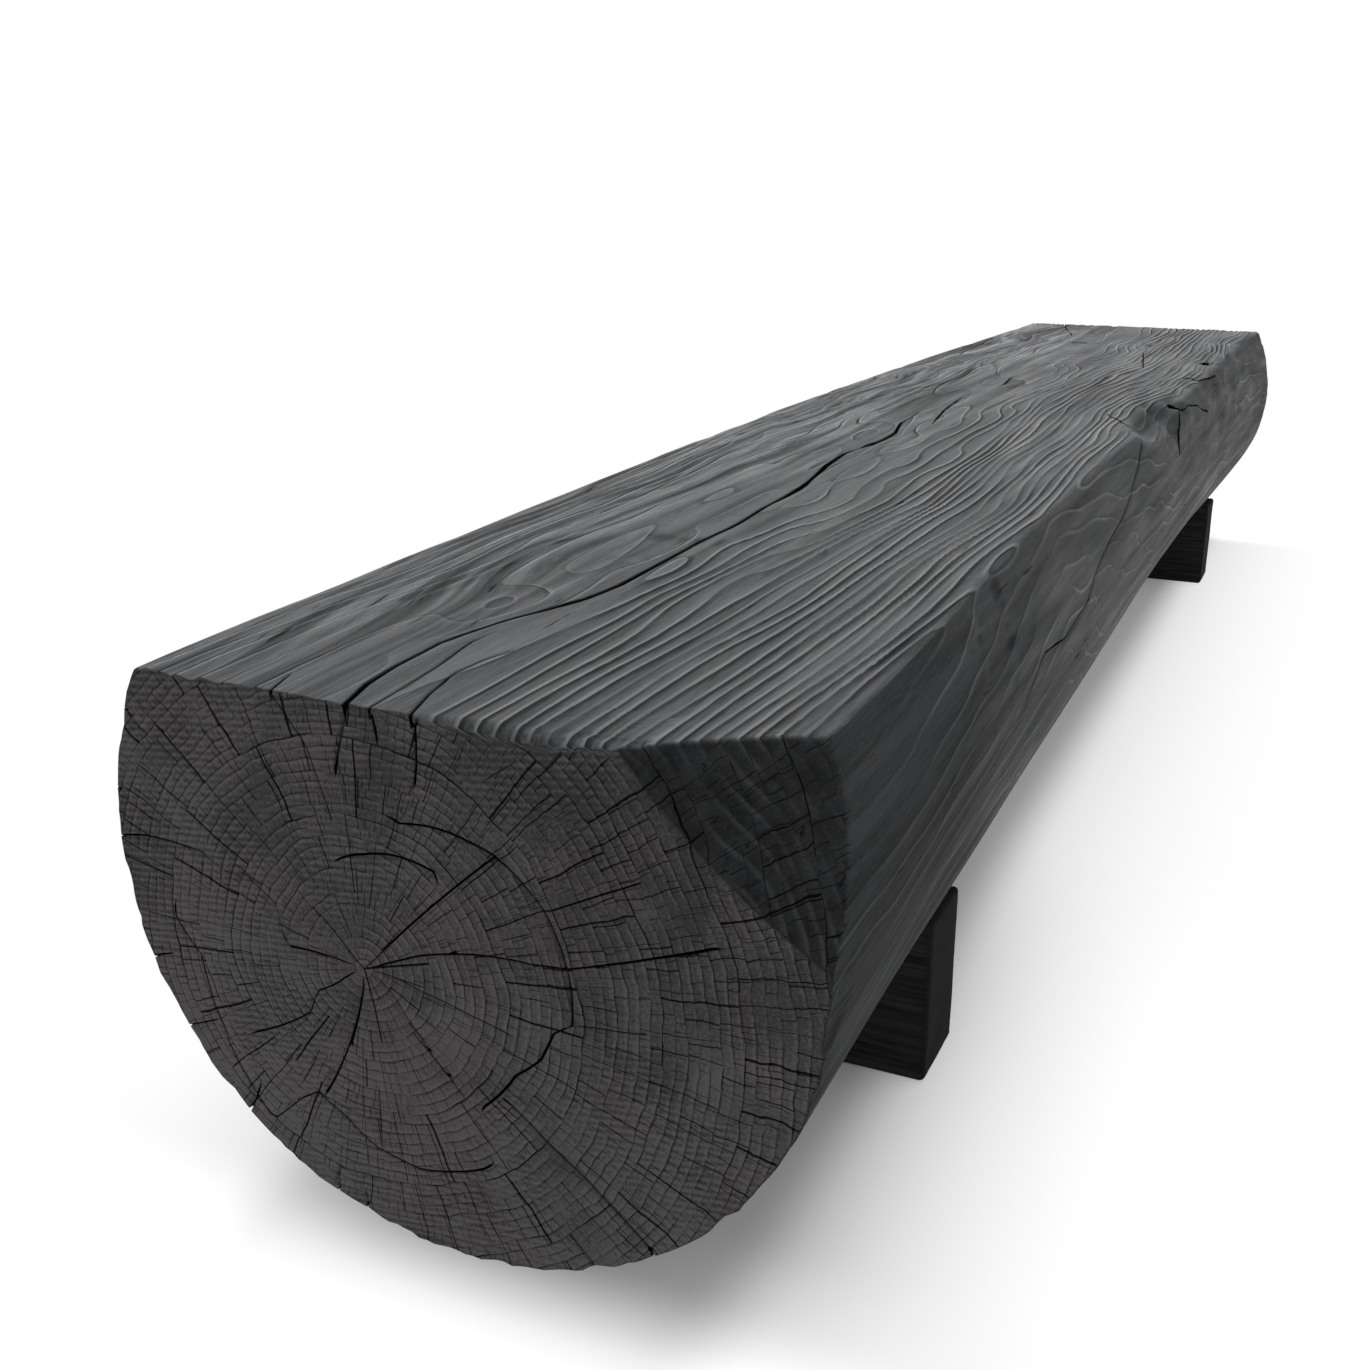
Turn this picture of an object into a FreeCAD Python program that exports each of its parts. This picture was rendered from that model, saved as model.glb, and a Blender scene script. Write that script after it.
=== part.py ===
import FreeCAD, Part
import os
import Sketcher

# A bench made from one thick charred log on two cross feet, in millimetres.
# +X runs along the log, -Y is the front, +Z is up. The origin is on the floor, below the middle of the bench.

SIZES = (
    ("log_length", 2640, "log from end to end"),
    ("seat_height", 420, "floor to the sawn seat"),
    ("left_end_diameter", 504, "round log at its left end"),
    ("left_end_axis_height", 298, "log axis above the floor there"),
    ("left_end_axis_side", -20, "log axis behind the bench's middle plane there"),
    ("left_quarter_diameter", 517, "round log one fifth along"),
    ("left_quarter_axis_height", 297, "log axis above the floor there"),
    ("left_quarter_axis_side", -2, "log axis behind the middle plane there"),
    ("left_middle_diameter", 526, "round log two fifths along"),
    ("left_middle_axis_height", 297, "log axis above the floor there"),
    ("left_middle_axis_side", 9, "log axis behind the middle plane there"),
    ("right_middle_diameter", 525, "round log three fifths along"),
    ("right_middle_axis_height", 306, "log axis above the floor there"),
    ("right_middle_axis_side", 8, "log axis behind the middle plane there"),
    ("right_quarter_diameter", 521, "round log four fifths along"),
    ("right_quarter_axis_height", 295, "log axis above the floor there"),
    ("right_quarter_axis_side", 5.5, "log axis behind the middle plane there"),
    ("right_end_diameter", 520, "round log at its right end"),
    ("right_end_axis_height", 297, "log axis above the floor there"),
    ("right_end_axis_side", -10, "log axis behind the middle plane there"),
    ("corner_scoop_radius", 600, "hollow curve that takes the left end's front top corner off"),
    ("corner_scoop_depth", 50, "how far that curve goes in behind the sharp corner"),
    ("corner_scoop_turn", 30.5, "degrees from the end towards the front that the scoop faces"),
    ("corner_scoop_tilt", 29, "degrees upwards that the scoop faces"),
    ("knot_hollow_along", 1390, "left end to the middle of the knot hollow on the front edge"),
    ("knot_hollow_half_length", 170, "half the hollow's length along the log"),
    ("knot_hollow_radius", 55, "hollow's radius across the edge"),
    ("knot_hollow_depth", 27, "how far the hollow goes in behind the sharp edge"),
    ("foot_length", 446, "cross foot from front to rear"),
    ("foot_thickness", 84, "cross foot along the log"),
    ("foot_height", 146, "floor to the housing's flat roof"),
    ("foot_edge_radius", 5, "softened edges of a foot"),
    ("left_foot_inset", 387, "left end to the left foot's outer face"),
    ("right_foot_inset", 370, "right end to the right foot's outer face"),
    ("housing_clearance", 0.3, "room on each side of a foot in its housing"),
    ("screw_spacing", 240, "between the two screws of one foot"),
    ("screw_diameter", 12, "lag screw's shank and thread"),
    ("screw_length", 180, "lag screw under its head"),
    ("screw_tip_length", 12, "lag screw's pointed end"),
    ("screw_thread_length", 72, "threaded stretch behind the point"),
    ("screw_thread_pitch", 4.5, "from one thread to the next"),
    ("screw_thread_depth", 1.6, "thread from crest to root"),
    ("screw_head_flats", 19, "hexagon across its flats"),
    ("screw_head_height", 8, "hexagon's height"),
    ("washer_diameter", 37, "washer outside"),
    ("washer_thickness", 3, "washer"),
    ("washer_bore_clearance", 0.5, "washer's hole around the screw"),
    ("counterbore_depth", 45, "floor to the seat of the washer"),
    ("counterbore_clearance", 2, "counterbore around the washer"),
    ("shank_clearance", 0.5, "foot's hole around the screw"),
    ("pilot_clearance", 0.1, "log's hole around the screw"),
    ("pilot_tip_room", 4, "log's hole past the screw's point"),
)

# The round sections of the log, evenly spaced from its left end to its right end.
SECTIONS = ("left_end", "left_quarter", "left_middle", "right_middle", "right_quarter", "right_end")

# Middle of each foot along the log, and of each screw row across it.
FOOT_X = {
    "left": "(Sizes.left_foot_inset + Sizes.foot_thickness / 2 - Sizes.log_length / 2)",
    "right": "(Sizes.log_length / 2 - Sizes.right_foot_inset - Sizes.foot_thickness / 2)",
}
SCREW_Y = {"front": "-Sizes.screw_spacing / 2", "rear": "Sizes.screw_spacing / 2"}

# The washer's lower face, where the screw's head bears.
HEAD_SEAT = "Sizes.counterbore_depth - Sizes.washer_thickness"

CUTS = ("PartDesign::Pocket", "PartDesign::Groove", "PartDesign::SubtractiveSphere", "PartDesign::SubtractiveEllipsoid")

Vector = FreeCAD.Vector
Constraint = Sketcher.Constraint


def fill_sheet(doc):
    sheet = doc.addObject("Spreadsheet::Sheet", "Sizes")
    for row, (alias, value, note) in enumerate(SIZES, start=1):
        sheet.set("A%d" % row, alias)
        sheet.set("B%d" % row, str(value))
        sheet.set("C%d" % row, note)
        sheet.setAlias("B%d" % row, alias)
    doc.recompute()


def new_body(doc, label, place=()):
    """An empty body with its label and the expressions of its place."""
    body = doc.addObject("PartDesign::Body", label)
    body.Label = label
    for axis, expression in place:
        body.setExpression("Placement.Base." + axis, expression)
    return body


def sketch_on(body, name, role, offset=()):
    """A sketch on one of the body's own origin planes, shifted along the sketch's own axes."""
    sketch = body.newObject("Sketcher::SketchObject", name)
    plane = next(item for item in body.Origin.OriginFeatures if item.Role == role)
    sketch.AttachmentSupport = [(plane, "")]
    sketch.MapMode = "FlatFace"
    for axis, expression in offset:
        sketch.setExpression("AttachmentOffset.Base." + axis, expression)
    return sketch


def dimension(sketch, constraint, expression):
    index = sketch.addConstraint(constraint)
    name = "size_%d" % index
    sketch.renameConstraint(index, name)
    sketch.setExpression("Constraints." + name, expression)


def add_circle(sketch, diameter):
    """A circle about the sketch's origin."""
    edge = sketch.addGeometry(Part.Circle(Vector(0, 0, 0), Vector(0, 0, 1), 1))
    sketch.addConstraint(Constraint("Coincident", edge, 3, -1, 1))
    dimension(sketch, Constraint("Diameter", edge, 2), diameter)


def add_circle_pair(sketch, spacing, diameter):
    """Two circles on the sketch's vertical axis, either side of its origin."""
    for side in (-1, 1):
        edge = sketch.addGeometry(Part.Circle(Vector(0, 2 * side, 0), Vector(0, 0, 1), 1))
        dimension(sketch, Constraint("Diameter", edge, 2), diameter)
    sketch.addConstraint(Constraint("PointOnObject", 0, 3, -2))
    sketch.addConstraint(Constraint("Symmetric", 0, 3, 1, 3, -1, 1))
    dimension(sketch, Constraint("DistanceY", 0, 3, 1, 3, 4), spacing)


def add_lines(sketch, corners):
    """A closed outline of straight lines."""
    points = [Vector(x, y, 0) for x, y in corners]
    for start, end in zip(points, points[1:] + points[:1]):
        sketch.addGeometry(Part.LineSegment(start, end))
    for edge in range(len(points)):
        sketch.addConstraint(Constraint("Coincident", edge, 2, (edge + 1) % len(points), 1))


def add_rectangle(sketch, width, depth):
    """A rectangle about the sketch's origin."""
    add_lines(sketch, ((-1, -1), (1, -1), (1, 1), (-1, 1)))
    for edge in (0, 2):
        sketch.addConstraint(Constraint("Horizontal", edge))
        sketch.addConstraint(Constraint("Vertical", edge + 1))
    sketch.addConstraint(Constraint("Symmetric", 0, 1, 2, 1, -1, 1))
    dimension(sketch, Constraint("DistanceX", 0, 1, 0, 2, 2), width)
    dimension(sketch, Constraint("DistanceY", 1, 1, 1, 2, 2), depth)


def pad(body, name, sketch, height):
    feature = body.newObject("PartDesign::Pad", name)
    feature.Profile = sketch
    feature.setExpression("Length", height)
    return feature


def pocket(body, name, sketch, upward, depth=None):
    """A cut from the sketch up or down, to a depth or right through."""
    feature = body.newObject("PartDesign::Pocket", name)
    feature.Profile = sketch
    feature.Reversed = upward
    if depth is None:
        feature.Type = "ThroughAll"
    else:
        feature.setExpression("Length", depth)
    return feature


def front_edge(section):
    """Y of the seat's front edge at one round section, where the seat's plane meets the circle."""
    words = {"at": "Sizes." + section}
    return ("(%(at)s_axis_side - sqrt(pow(%(at)s_diameter / 2; 2)"
            " - pow(Sizes.seat_height - %(at)s_axis_height; 2)))" % words)


def round_log(body):
    """The natural round of the log, lofted through its sections."""
    rounds = []
    for index, section in enumerate(SECTIONS):
        share = index / (len(SECTIONS) - 1) - 0.5
        offset = (
            ("x", "Sizes.%s_axis_side" % section),
            ("y", "Sizes.%s_axis_height" % section),
            ("z", "Sizes.log_length * %s" % share),
        )
        sketch = sketch_on(body, section + "_round", "YZ_Plane", offset)
        add_circle(sketch, "Sizes.%s_diameter" % section)
        rounds.append(sketch)
    loft = body.newObject("PartDesign::AdditiveLoft", "round_log")
    loft.Profile = rounds[0]
    loft.Sections = rounds[1:]


def saw_seat(body):
    """The slab sawn off above the seat, which leaves the flat top."""
    sketch = sketch_on(body, "seat_plane", "XY_Plane", (("z", "Sizes.seat_height"),))
    add_rectangle(sketch, "Sizes.log_length + Sizes.left_end_diameter",
                  "Sizes.left_end_diameter + Sizes.right_end_diameter")
    pocket(body, "seat_cut", sketch, upward=True)


def scoop_corner(body):
    """The hollow bevel across the front top corner of the left end."""
    scoop = body.newObject("PartDesign::SubtractiveSphere", "corner_scoop")
    scoop.setExpression("Radius", "Sizes.corner_scoop_radius")
    reach = "(Sizes.corner_scoop_radius - Sizes.corner_scoop_depth)"
    level = reach + " * cos(Sizes.corner_scoop_tilt * 1 deg)"
    turn = "(Sizes.corner_scoop_turn * 1 deg)"
    scoop.setExpression("Placement.Base.x", "-Sizes.log_length / 2 - %s * cos%s" % (level, turn))
    scoop.setExpression("Placement.Base.y", "%s - %s * sin%s" % (front_edge("left_end"), level, turn))
    scoop.setExpression("Placement.Base.z",
                        "Sizes.seat_height + %s * sin(Sizes.corner_scoop_tilt * 1 deg)" % reach)


def sink_knot(body):
    """The hollow that an old knot leaves on the front edge."""
    hollow = body.newObject("PartDesign::SubtractiveEllipsoid", "knot_hollow")
    hollow.setExpression("Radius1", "Sizes.knot_hollow_radius")
    hollow.setExpression("Radius2", "Sizes.knot_hollow_half_length")
    hollow.setExpression("Radius3", "Sizes.knot_hollow_radius")
    outward = "(Sizes.knot_hollow_radius - Sizes.knot_hollow_depth) / sqrt(2)"
    hollow.setExpression("Placement.Base.x", "Sizes.knot_hollow_along - Sizes.log_length / 2")
    hollow.setExpression("Placement.Base.y", "%s - %s" % (front_edge("right_middle"), outward))
    hollow.setExpression("Placement.Base.z", "Sizes.seat_height + " + outward)


def house_foot(body, side):
    """The flat housing across the log's underside for one foot, with the pilot holes of its screws."""
    offset = (("x", FOOT_X[side]), ("z", "Sizes.foot_height"))
    roof = sketch_on(body, side + "_housing_roof", "XY_Plane", offset)
    add_rectangle(roof, "Sizes.foot_thickness + 2 * Sizes.housing_clearance",
                  "Sizes.foot_length + 2 * Sizes.housing_clearance")
    pocket(body, side + "_housing", roof, upward=False)
    holes = sketch_on(body, side + "_pilot_places", "XY_Plane", offset)
    add_circle_pair(holes, "Sizes.screw_spacing", "Sizes.screw_diameter + 2 * Sizes.pilot_clearance")
    depth = HEAD_SEAT + " + Sizes.screw_length - Sizes.foot_height + Sizes.pilot_tip_room"
    pocket(body, side + "_pilot_holes", holes, upward=True, depth=depth)


def make_log(doc):
    body = new_body(doc, "seat_log")
    round_log(body)
    saw_seat(body)
    scoop_corner(body)
    sink_knot(body)
    for side in FOOT_X:
        house_foot(body, side)
    return body


def make_foot(doc, side):
    """One cross foot: a block with softened edges and two counterbored screw holes."""
    name = side + "_foot"
    body = new_body(doc, name, (("x", FOOT_X[side]),))
    outline = sketch_on(body, name + "_outline", "XY_Plane")
    add_rectangle(outline, "Sizes.foot_thickness", "Sizes.foot_length")
    block = pad(body, name + "_block", outline, "Sizes.foot_height")
    doc.recompute()
    edges = body.newObject("PartDesign::Fillet", name + "_edges")
    edges.Base = (block, ["Face1"])
    edges.UseAllEdges = True
    edges.setExpression("Radius", "Sizes.foot_edge_radius")
    sinks = sketch_on(body, name + "_counterbore_places", "XY_Plane")
    add_circle_pair(sinks, "Sizes.screw_spacing", "Sizes.washer_diameter + 2 * Sizes.counterbore_clearance")
    pocket(body, name + "_counterbores", sinks, upward=True, depth="Sizes.counterbore_depth")
    holes = sketch_on(body, name + "_hole_places", "XY_Plane")
    add_circle_pair(holes, "Sizes.screw_spacing", "Sizes.screw_diameter + 2 * Sizes.shank_clearance")
    pocket(body, name + "_screw_holes", holes, upward=True)
    return body


def thread_rings(body, name):
    """The thread, as evenly spaced ring grooves behind the point."""
    first = ("Sizes.screw_length - Sizes.screw_tip_length - Sizes.screw_thread_length"
             " + Sizes.screw_thread_pitch / 2")
    sketch = sketch_on(body, name + "_thread_form", "XZ_Plane", (("y", first),))
    add_lines(sketch, ((4, 0), (7, -2), (7, 2)))
    sketch.addConstraint(Constraint("PointOnObject", 0, 1, -1))
    sketch.addConstraint(Constraint("Symmetric", 1, 1, 2, 1, -1))
    dimension(sketch, Constraint("DistanceX", -1, 1, 0, 1, 4),
              "Sizes.screw_diameter / 2 - Sizes.screw_thread_depth")
    dimension(sketch, Constraint("DistanceX", -1, 1, 1, 1, 7),
              "Sizes.screw_diameter / 2 + Sizes.screw_thread_depth / 8")
    dimension(sketch, Constraint("DistanceY", 1, 1, 2, 1, 4), "Sizes.screw_thread_pitch * 0.9")
    groove = body.newObject("PartDesign::Groove", name + "_thread_ring")
    groove.Profile = sketch
    groove.ReferenceAxis = (sketch, ["V_Axis"])
    groove.Angle = 360
    rings = body.newObject("PartDesign::LinearPattern", name + "_thread")
    rings.Originals = [groove]
    rings.Direction = (sketch, ["V_Axis"])
    count = "floor(Sizes.screw_thread_length / Sizes.screw_thread_pitch)"
    rings.setExpression("Occurrences", count)
    rings.setExpression("Length", "(%s - 1) * Sizes.screw_thread_pitch" % count)
    body.Tip = rings


def make_screw(doc, side, row):
    """A hex-head lag screw, pointing up, with its origin under the head."""
    name = "%s_%s_lag_screw" % (side, row)
    body = new_body(doc, name, (("x", FOOT_X[side]), ("y", SCREW_Y[row]), ("z", HEAD_SEAT)))
    head = body.newObject("PartDesign::AdditivePrism", name + "_head")
    head.Polygon = 6
    head.setExpression("Circumradius", "Sizes.screw_head_flats / 2 / cos(30 deg)")
    head.setExpression("Height", "Sizes.screw_head_height")
    head.setExpression("Placement.Base.z", "-Sizes.screw_head_height")
    shank = body.newObject("PartDesign::AdditiveCylinder", name + "_shank")
    shank.setExpression("Radius", "Sizes.screw_diameter / 2")
    shank.setExpression("Height", "Sizes.screw_length - Sizes.screw_tip_length")
    tip = body.newObject("PartDesign::AdditiveCone", name + "_tip")
    tip.setExpression("Radius1", "Sizes.screw_diameter / 2")
    tip.Radius2 = 0
    tip.setExpression("Height", "Sizes.screw_tip_length")
    tip.setExpression("Placement.Base.z", "Sizes.screw_length - Sizes.screw_tip_length")
    thread_rings(body, name)
    return body


def make_washer(doc, side, row):
    name = "%s_%s_washer" % (side, row)
    body = new_body(doc, name, (("x", FOOT_X[side]), ("y", SCREW_Y[row]), ("z", HEAD_SEAT)))
    ring = sketch_on(body, name + "_ring", "XY_Plane")
    add_circle(ring, "Sizes.washer_diameter")
    add_circle(ring, "Sizes.screw_diameter + 2 * Sizes.washer_bore_clearance")
    pad(body, name + "_plate", ring, "Sizes.washer_thickness")
    return body


def check(doc, bodies):
    """Stops at a failed object, a cut that removes nothing and a piece that isn't one sound solid."""
    for item in doc.Objects:
        if "Invalid" in item.State or "Error" in item.State:
            raise RuntimeError("%s failed: %s" % (item.Name, item.State))
        if item.TypeId in CUTS and item.Shape.Volume >= item.BaseFeature.Shape.Volume:
            raise RuntimeError("%s removes nothing" % item.Name)
    for body in bodies:
        shape = body.Shape
        if shape.isNull() or not shape.isValid() or len(shape.Solids) != 1:
            raise RuntimeError("%s is not one sound solid" % body.Label)


def main():
    doc = FreeCAD.newDocument("log_bench")
    fill_sheet(doc)
    bodies = [make_log(doc)]
    for side in FOOT_X:
        bodies.append(make_foot(doc, side))
        for row in SCREW_Y:
            bodies.append(make_screw(doc, side, row))
            bodies.append(make_washer(doc, side, row))
    doc.recompute()
    check(doc, bodies)
    os.makedirs("parts", exist_ok=True)
    for body in bodies:
        body.Shape.exportStep("parts/%s.step" % body.Label)


main()
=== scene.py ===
"""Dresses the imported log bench: its charred log, charred feet and zinc fasteners, on a plain studio stage."""
import math

import bmesh
import bpy
import numpy as np
from bpy.props import FloatProperty, FloatVectorProperty, PointerProperty
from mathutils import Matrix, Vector
from mathutils.bvhtree import BVHTree


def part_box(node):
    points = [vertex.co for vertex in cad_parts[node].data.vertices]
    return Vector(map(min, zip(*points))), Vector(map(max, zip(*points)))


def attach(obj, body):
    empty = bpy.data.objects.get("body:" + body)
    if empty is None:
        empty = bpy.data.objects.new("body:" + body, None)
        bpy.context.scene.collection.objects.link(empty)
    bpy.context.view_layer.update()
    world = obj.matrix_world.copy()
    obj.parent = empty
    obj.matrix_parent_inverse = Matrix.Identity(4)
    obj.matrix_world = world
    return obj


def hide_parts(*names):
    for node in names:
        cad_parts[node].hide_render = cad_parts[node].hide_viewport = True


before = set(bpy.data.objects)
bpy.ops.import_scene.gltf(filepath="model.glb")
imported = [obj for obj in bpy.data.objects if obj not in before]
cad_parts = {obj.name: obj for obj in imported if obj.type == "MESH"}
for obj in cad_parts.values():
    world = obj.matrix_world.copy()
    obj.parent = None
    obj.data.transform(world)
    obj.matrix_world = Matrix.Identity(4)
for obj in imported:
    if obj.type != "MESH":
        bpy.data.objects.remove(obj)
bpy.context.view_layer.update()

bl_info = {
    "name": "Charred Log Bench",
    "version": (1, 0, 0),
    "blender": (4, 5, 0),
    "location": "3D View > Sidebar > Bench",
    "description": "Carves and chars a log bench around its packed solids",
    "category": "Object",
}

MM = 0.001
FULL_TURN = 2 * math.pi
LOG_LOW, LOG_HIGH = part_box("seat_log")
LOG_LENGTH = LOG_HIGH.x - LOG_LOW.x
SEAT_HEIGHT = LOG_HIGH.z
FEET = ("left_foot", "right_foot")
FASTENERS = [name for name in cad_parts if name.endswith(("_screw", "_washer"))]

# The log's skin is one sheet of columns round the section and rows along the log.
# These columns are held on the edges and cracks that they are named for.
COLUMNS = 388
FRONT_LOW = 22
FLANK_CRACK = 60
SCOOP_FLANK = 92
FRONT_ARRIS = 112
SCOOP_SEAT = 140
THIRD_CHECK = 204
SECOND_CHECK = 212
MAIN_CHECK = 224
REAR_CHECK = 252
REAR_ARRIS = 300
REAR_LOW = 366
LOW_ANGLE = math.radians(30)
# Rows: from and to, in metres from the left end, and how many.
# They stand closer where there is more to carve.
ROW_SPANS = (
    (0.0, 0.012, 6), (0.012, 0.082, 10), (0.082, 0.45, 34), (0.45, 1.2, 39), (1.2, 1.36, 12), (1.36, 1.44, 7),
    (1.44, 1.6, 18), (1.6, 2.0, 26), (2.0, 2.13, 13), (2.13, LOG_LENGTH - 0.006, 21),
    (LOG_LENGTH - 0.006, LOG_LENGTH, 2),
)
END_ROW = 0.8 * MM
# Rows keep this clear of a housing's walls, and each wall has two rows this far apart.
HOUSING_CLEAR = 4 * MM
WALL_GAP = 0.02 * MM

# Corner scoop, knot hollow and housings as the solid log has them.
SCOOP_RADIUS = 600 * MM
SCOOP_DEPTH = 50 * MM
SCOOP_TURN = math.radians(30.5)
SCOOP_TILT = math.radians(29)
HOLLOW_ALONG = 1390 * MM
HOLLOW_LENGTH = 170 * MM
HOLLOW_RADIUS = 55 * MM
HOLLOW_DEPTH = 27 * MM
HOUSING_ROOM = 0.3 * MM
# Rounding of the scoop's and the hollow's edges.
SCOOP_ROUND = 3 * MM
HOLLOW_ROUND = 14 * MM
# The scoop's edge comes to a point on the front arris in the first stretch of the log.
# Its columns leave it over the second, and stay this far from the arris.
SCOOP_TIP = (50 * MM, 90 * MM)
SCOOP_LEAVES = (64 * MM, 800 * MM)
TIP_ROOM = 5 * MM
# Rounding of the seat's edges along the log, in millimetres.
FRONT_ROUND = ((0, 5), (1150, 6), (1260, 16), (1900, 18), (2150, 26), (2450, 20), (2640, 6))
REAR_ROUND = ((0, 3), (200, 5), (2640, 5))
# The scoop's checks run this far on past its edge.
SCOOP_FRINGE = 20 * MM
# Bores of the feet from below: radius and depth. Their cutters start this far under the sole.
HEAD_BORE = (20.5 * MM, 45 * MM)
SHANK_BORE = (6.25 * MM, 300 * MM)
BORE_START = 5 * MM
# A foot's cuts along, across and up carry its relief.
# Its rings turn round a pith at this place along and up from its lower left edge.
FOOT_CUTS = (3.2 * MM, 9.0 * MM, 2.4 * MM)
FOOT_PITH = (-0.05, 0.19)
FOOT_RING = 6.2 * MM
# Sway of its rings: step of the seed, size in millimetres, metres from crest to crest.
FOOT_SWAY = ((0, 3.0, (0.09, 0.5, 0.09)), (1, 0.8, (0.03, 0.12, 0.03)))

# Seat cracks: distance from the left end, then place across the seat, in millimetres.
MAIN_PATH = (
    (0, 37), (34, 46), (71, 51), (125, 54), (147, 50), (188, 42), (223, 29), (264, 18), (308, 13), (467, 18),
    (533, 15), (631, 21), (732, 24), (852, 43), (932, 49), (1034, 41), (1098, 43), (1178, 60), (1282, 63),
    (1600, 64), (2640, 60),
)
SECOND_PATH = (
    (0, 20), (32, 22), (86, 28), (133, 36), (162, 34), (230, 14), (300, 0), (467, 2), (700, 6), (1000, 18),
    (1195, 23), (1313, 41), (1447, 52), (1530, 44), (1603, 31), (1691, 41), (1790, 26), (2640, 20),
)
THIRD_PATH = (
    (0, -9), (37, 2), (72, 9), (105, 7), (139, -3), (230, -16), (300, -24), (700, -20), (1195, -6),
    (1447, -4), (1600, -60), (1898, -126), (2144, -88), (2640, -50),
)
REAR_PATH = (
    (0, 92), (46, 106), (150, 108), (600, 100), (1200, 112), (2250, 96), (2423, 92), (2501, 118), (2640, 152),
)
# The front flank's crack has a height in place of that.
FLANK_PATH = (
    (0, 236), (64, 246), (300, 285), (506, 305), (573, 324), (680, 311), (801, 318), (826, 331), (910, 345),
    (1027, 356), (1146, 384), (1206, 400), (1229, 406), (1242, 412), (1330, 398), (1600, 370), (2640, 360),
)
# Half width of each crack along its path, in millimetres. It is closed where this is nothing.
MAIN_WIDTH = (
    (0, 2.4), (60, 1.9), (130, 1.9), (240, 2.3), (300, 2.2), (640, 2.1), (760, 2.8), (860, 2.3), (1000, 2.1),
    (1180, 1.9), (1282, 0),
)
SECOND_WIDTH = (
    (0, 1.2), (100, 1.0), (162, 0), (1180, 0), (1230, 1.8), (1400, 1.8), (1447, 0), (1580, 0), (1610, 1.8),
    (1690, 1.6), (1715, 0),
)
THIRD_WIDTH = ((0, 1.4), (80, 1.2), (139, 0), (1900, 0), (1950, 0.8), (2100, 0.9), (2150, 0))
REAR_WIDTH = ((0, 0.7), (40, 0), (2390, 0), (2430, 1.0), (2560, 1.2), (2640, 1.6))
FLANK_WIDTH = ((490, 0), (560, 0.7), (800, 1.1), (1000, 0.9), (1180, 1.4), (1238, 1.5), (1250, 0))
# The columns beside a closed crack stand this far from it. An open crack is so many half widths deep.
CLOSED_HALF_WIDTH = 1.3 * MM
CRACK_STEEPNESS = 5.5
SEAT_CRACKS = (
    (THIRD_CHECK, THIRD_PATH, THIRD_WIDTH),
    (SECOND_CHECK, SECOND_PATH, SECOND_WIDTH),
    (MAIN_CHECK, MAIN_PATH, MAIN_WIDTH),
    (REAR_CHECK, REAR_PATH, REAR_WIDTH),
)

# Pith of the tree along the log, and the knots that its rings flow round, in millimetres.
PITH_ACROSS = ((0, 38), (700, 30), (1400, 46), (2000, 30), (2640, 24))
PITH_HEIGHT = ((0, 242), (700, 250), (1400, 242), (2000, 254), (2640, 250))
KNOTS = (
    # along, across, height, reach along, reach across, lift of the rings
    (232, 64, 420, 70, 30, 15),
    (520, 120, 420, 140, 36, -4),
    (742, 36, 420, 80, 24, 5),
    (1120, 84, 420, 120, 34, 5),
    (1500, -238, 400, 70, 60, 9),
    (1905, -8, 420, 60, 36, 12),
    (2014, -208, 412, 70, 50, 10),
    (2260, -60, 420, 100, 60, 9),
    (2420, -190, 400, 90, 60, 8),
    (1440, -254, 340, 90, 60, 10),
    (960, -266, 250, 120, 60, 9),
    (1830, -262, 330, 110, 70, 10),
    (620, -240, 180, 100, 60, 8),
    (1500, 258, 330, 110, 70, 10),
    (700, 250, 260, 110, 70, 9),
    (2200, 240, 300, 110, 70, 10),
)
# Heights between which the flank turns into the seat.
SEAT_RISE = (0.39, 0.415)
# Sway of the growth rings everywhere, beside the main crack, on the flanks, and where they stand in the seat:
# size in millimetres, metres from crest to crest along, across and up, seed.
RING_SWAY = (
    (6.0, (1.3, 0.20, 0.20), 11),
    (1.9, (0.36, 0.09, 0.09), 12),
    (1.0, (0.15, 0.035, 0.035), 13),
)
CRACK_SWAY = (
    (4.2, (0.42, 0.07, 0.07), 14),
    (1.5, (0.17, 0.035, 0.035), 15),
)
FLANK_SWAY = ((0.45, (0.07, 0.05, 0.05), 16),)
STANDING_SWAY = ((1.8, (0.22, 0.05, 0.05), 17),)
# Dimples round the knots on the front edge, in millimetres: points along, across and up, half width, depth.
DIMPLES = (
    (((2050, -203, 417), (2100, -209, 413)), 15, 7),
    (((1534, -220, 414), (1575, -234, 402)), 9, 6),
    (((1474, -208, 412), (1494, -220, 396), (1470, -236, 386)), 17, 9),
)
# Black slits there, in millimetres: half width, then points along the log and over its front edge.
# The second number is the place across plus the height. Lengths along count for less, by the stretch.
SLITS = (
    (7.0, ((2056, 213), (2094, 207))),
    (2.2, ((1816, 216), (1828, 192), (1906, 181), (1999, 173))),
    (3.4, ((1534, 194), (1549, 179), (1575, 168))),
    (1.6, ((1575, 168), (1640, 166), (1705, 154), (1789, 127))),
    (1.5, ((1548, 174), (1490, 140), (1467, 109))),
    (1.0, ((1357, 255), (1296, 226), (1266, 198))),
)
SLIT_STRETCH = 0.3
# Rings in a metre of seat: below the first number they lie flat and hardly show, above the second they stand.
LYING_PACE = (12, 50)
# Rings in a metre of skin are counted within these bounds.
PACE_RANGE = (14, 260)
# A brushed ridge's climb and drop: length in millimetres, and the most of a ring that it takes.
RIDGE_CLIMB = (16, 0.56)
RIDGE_DROP = (6.5, 0.44)
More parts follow.
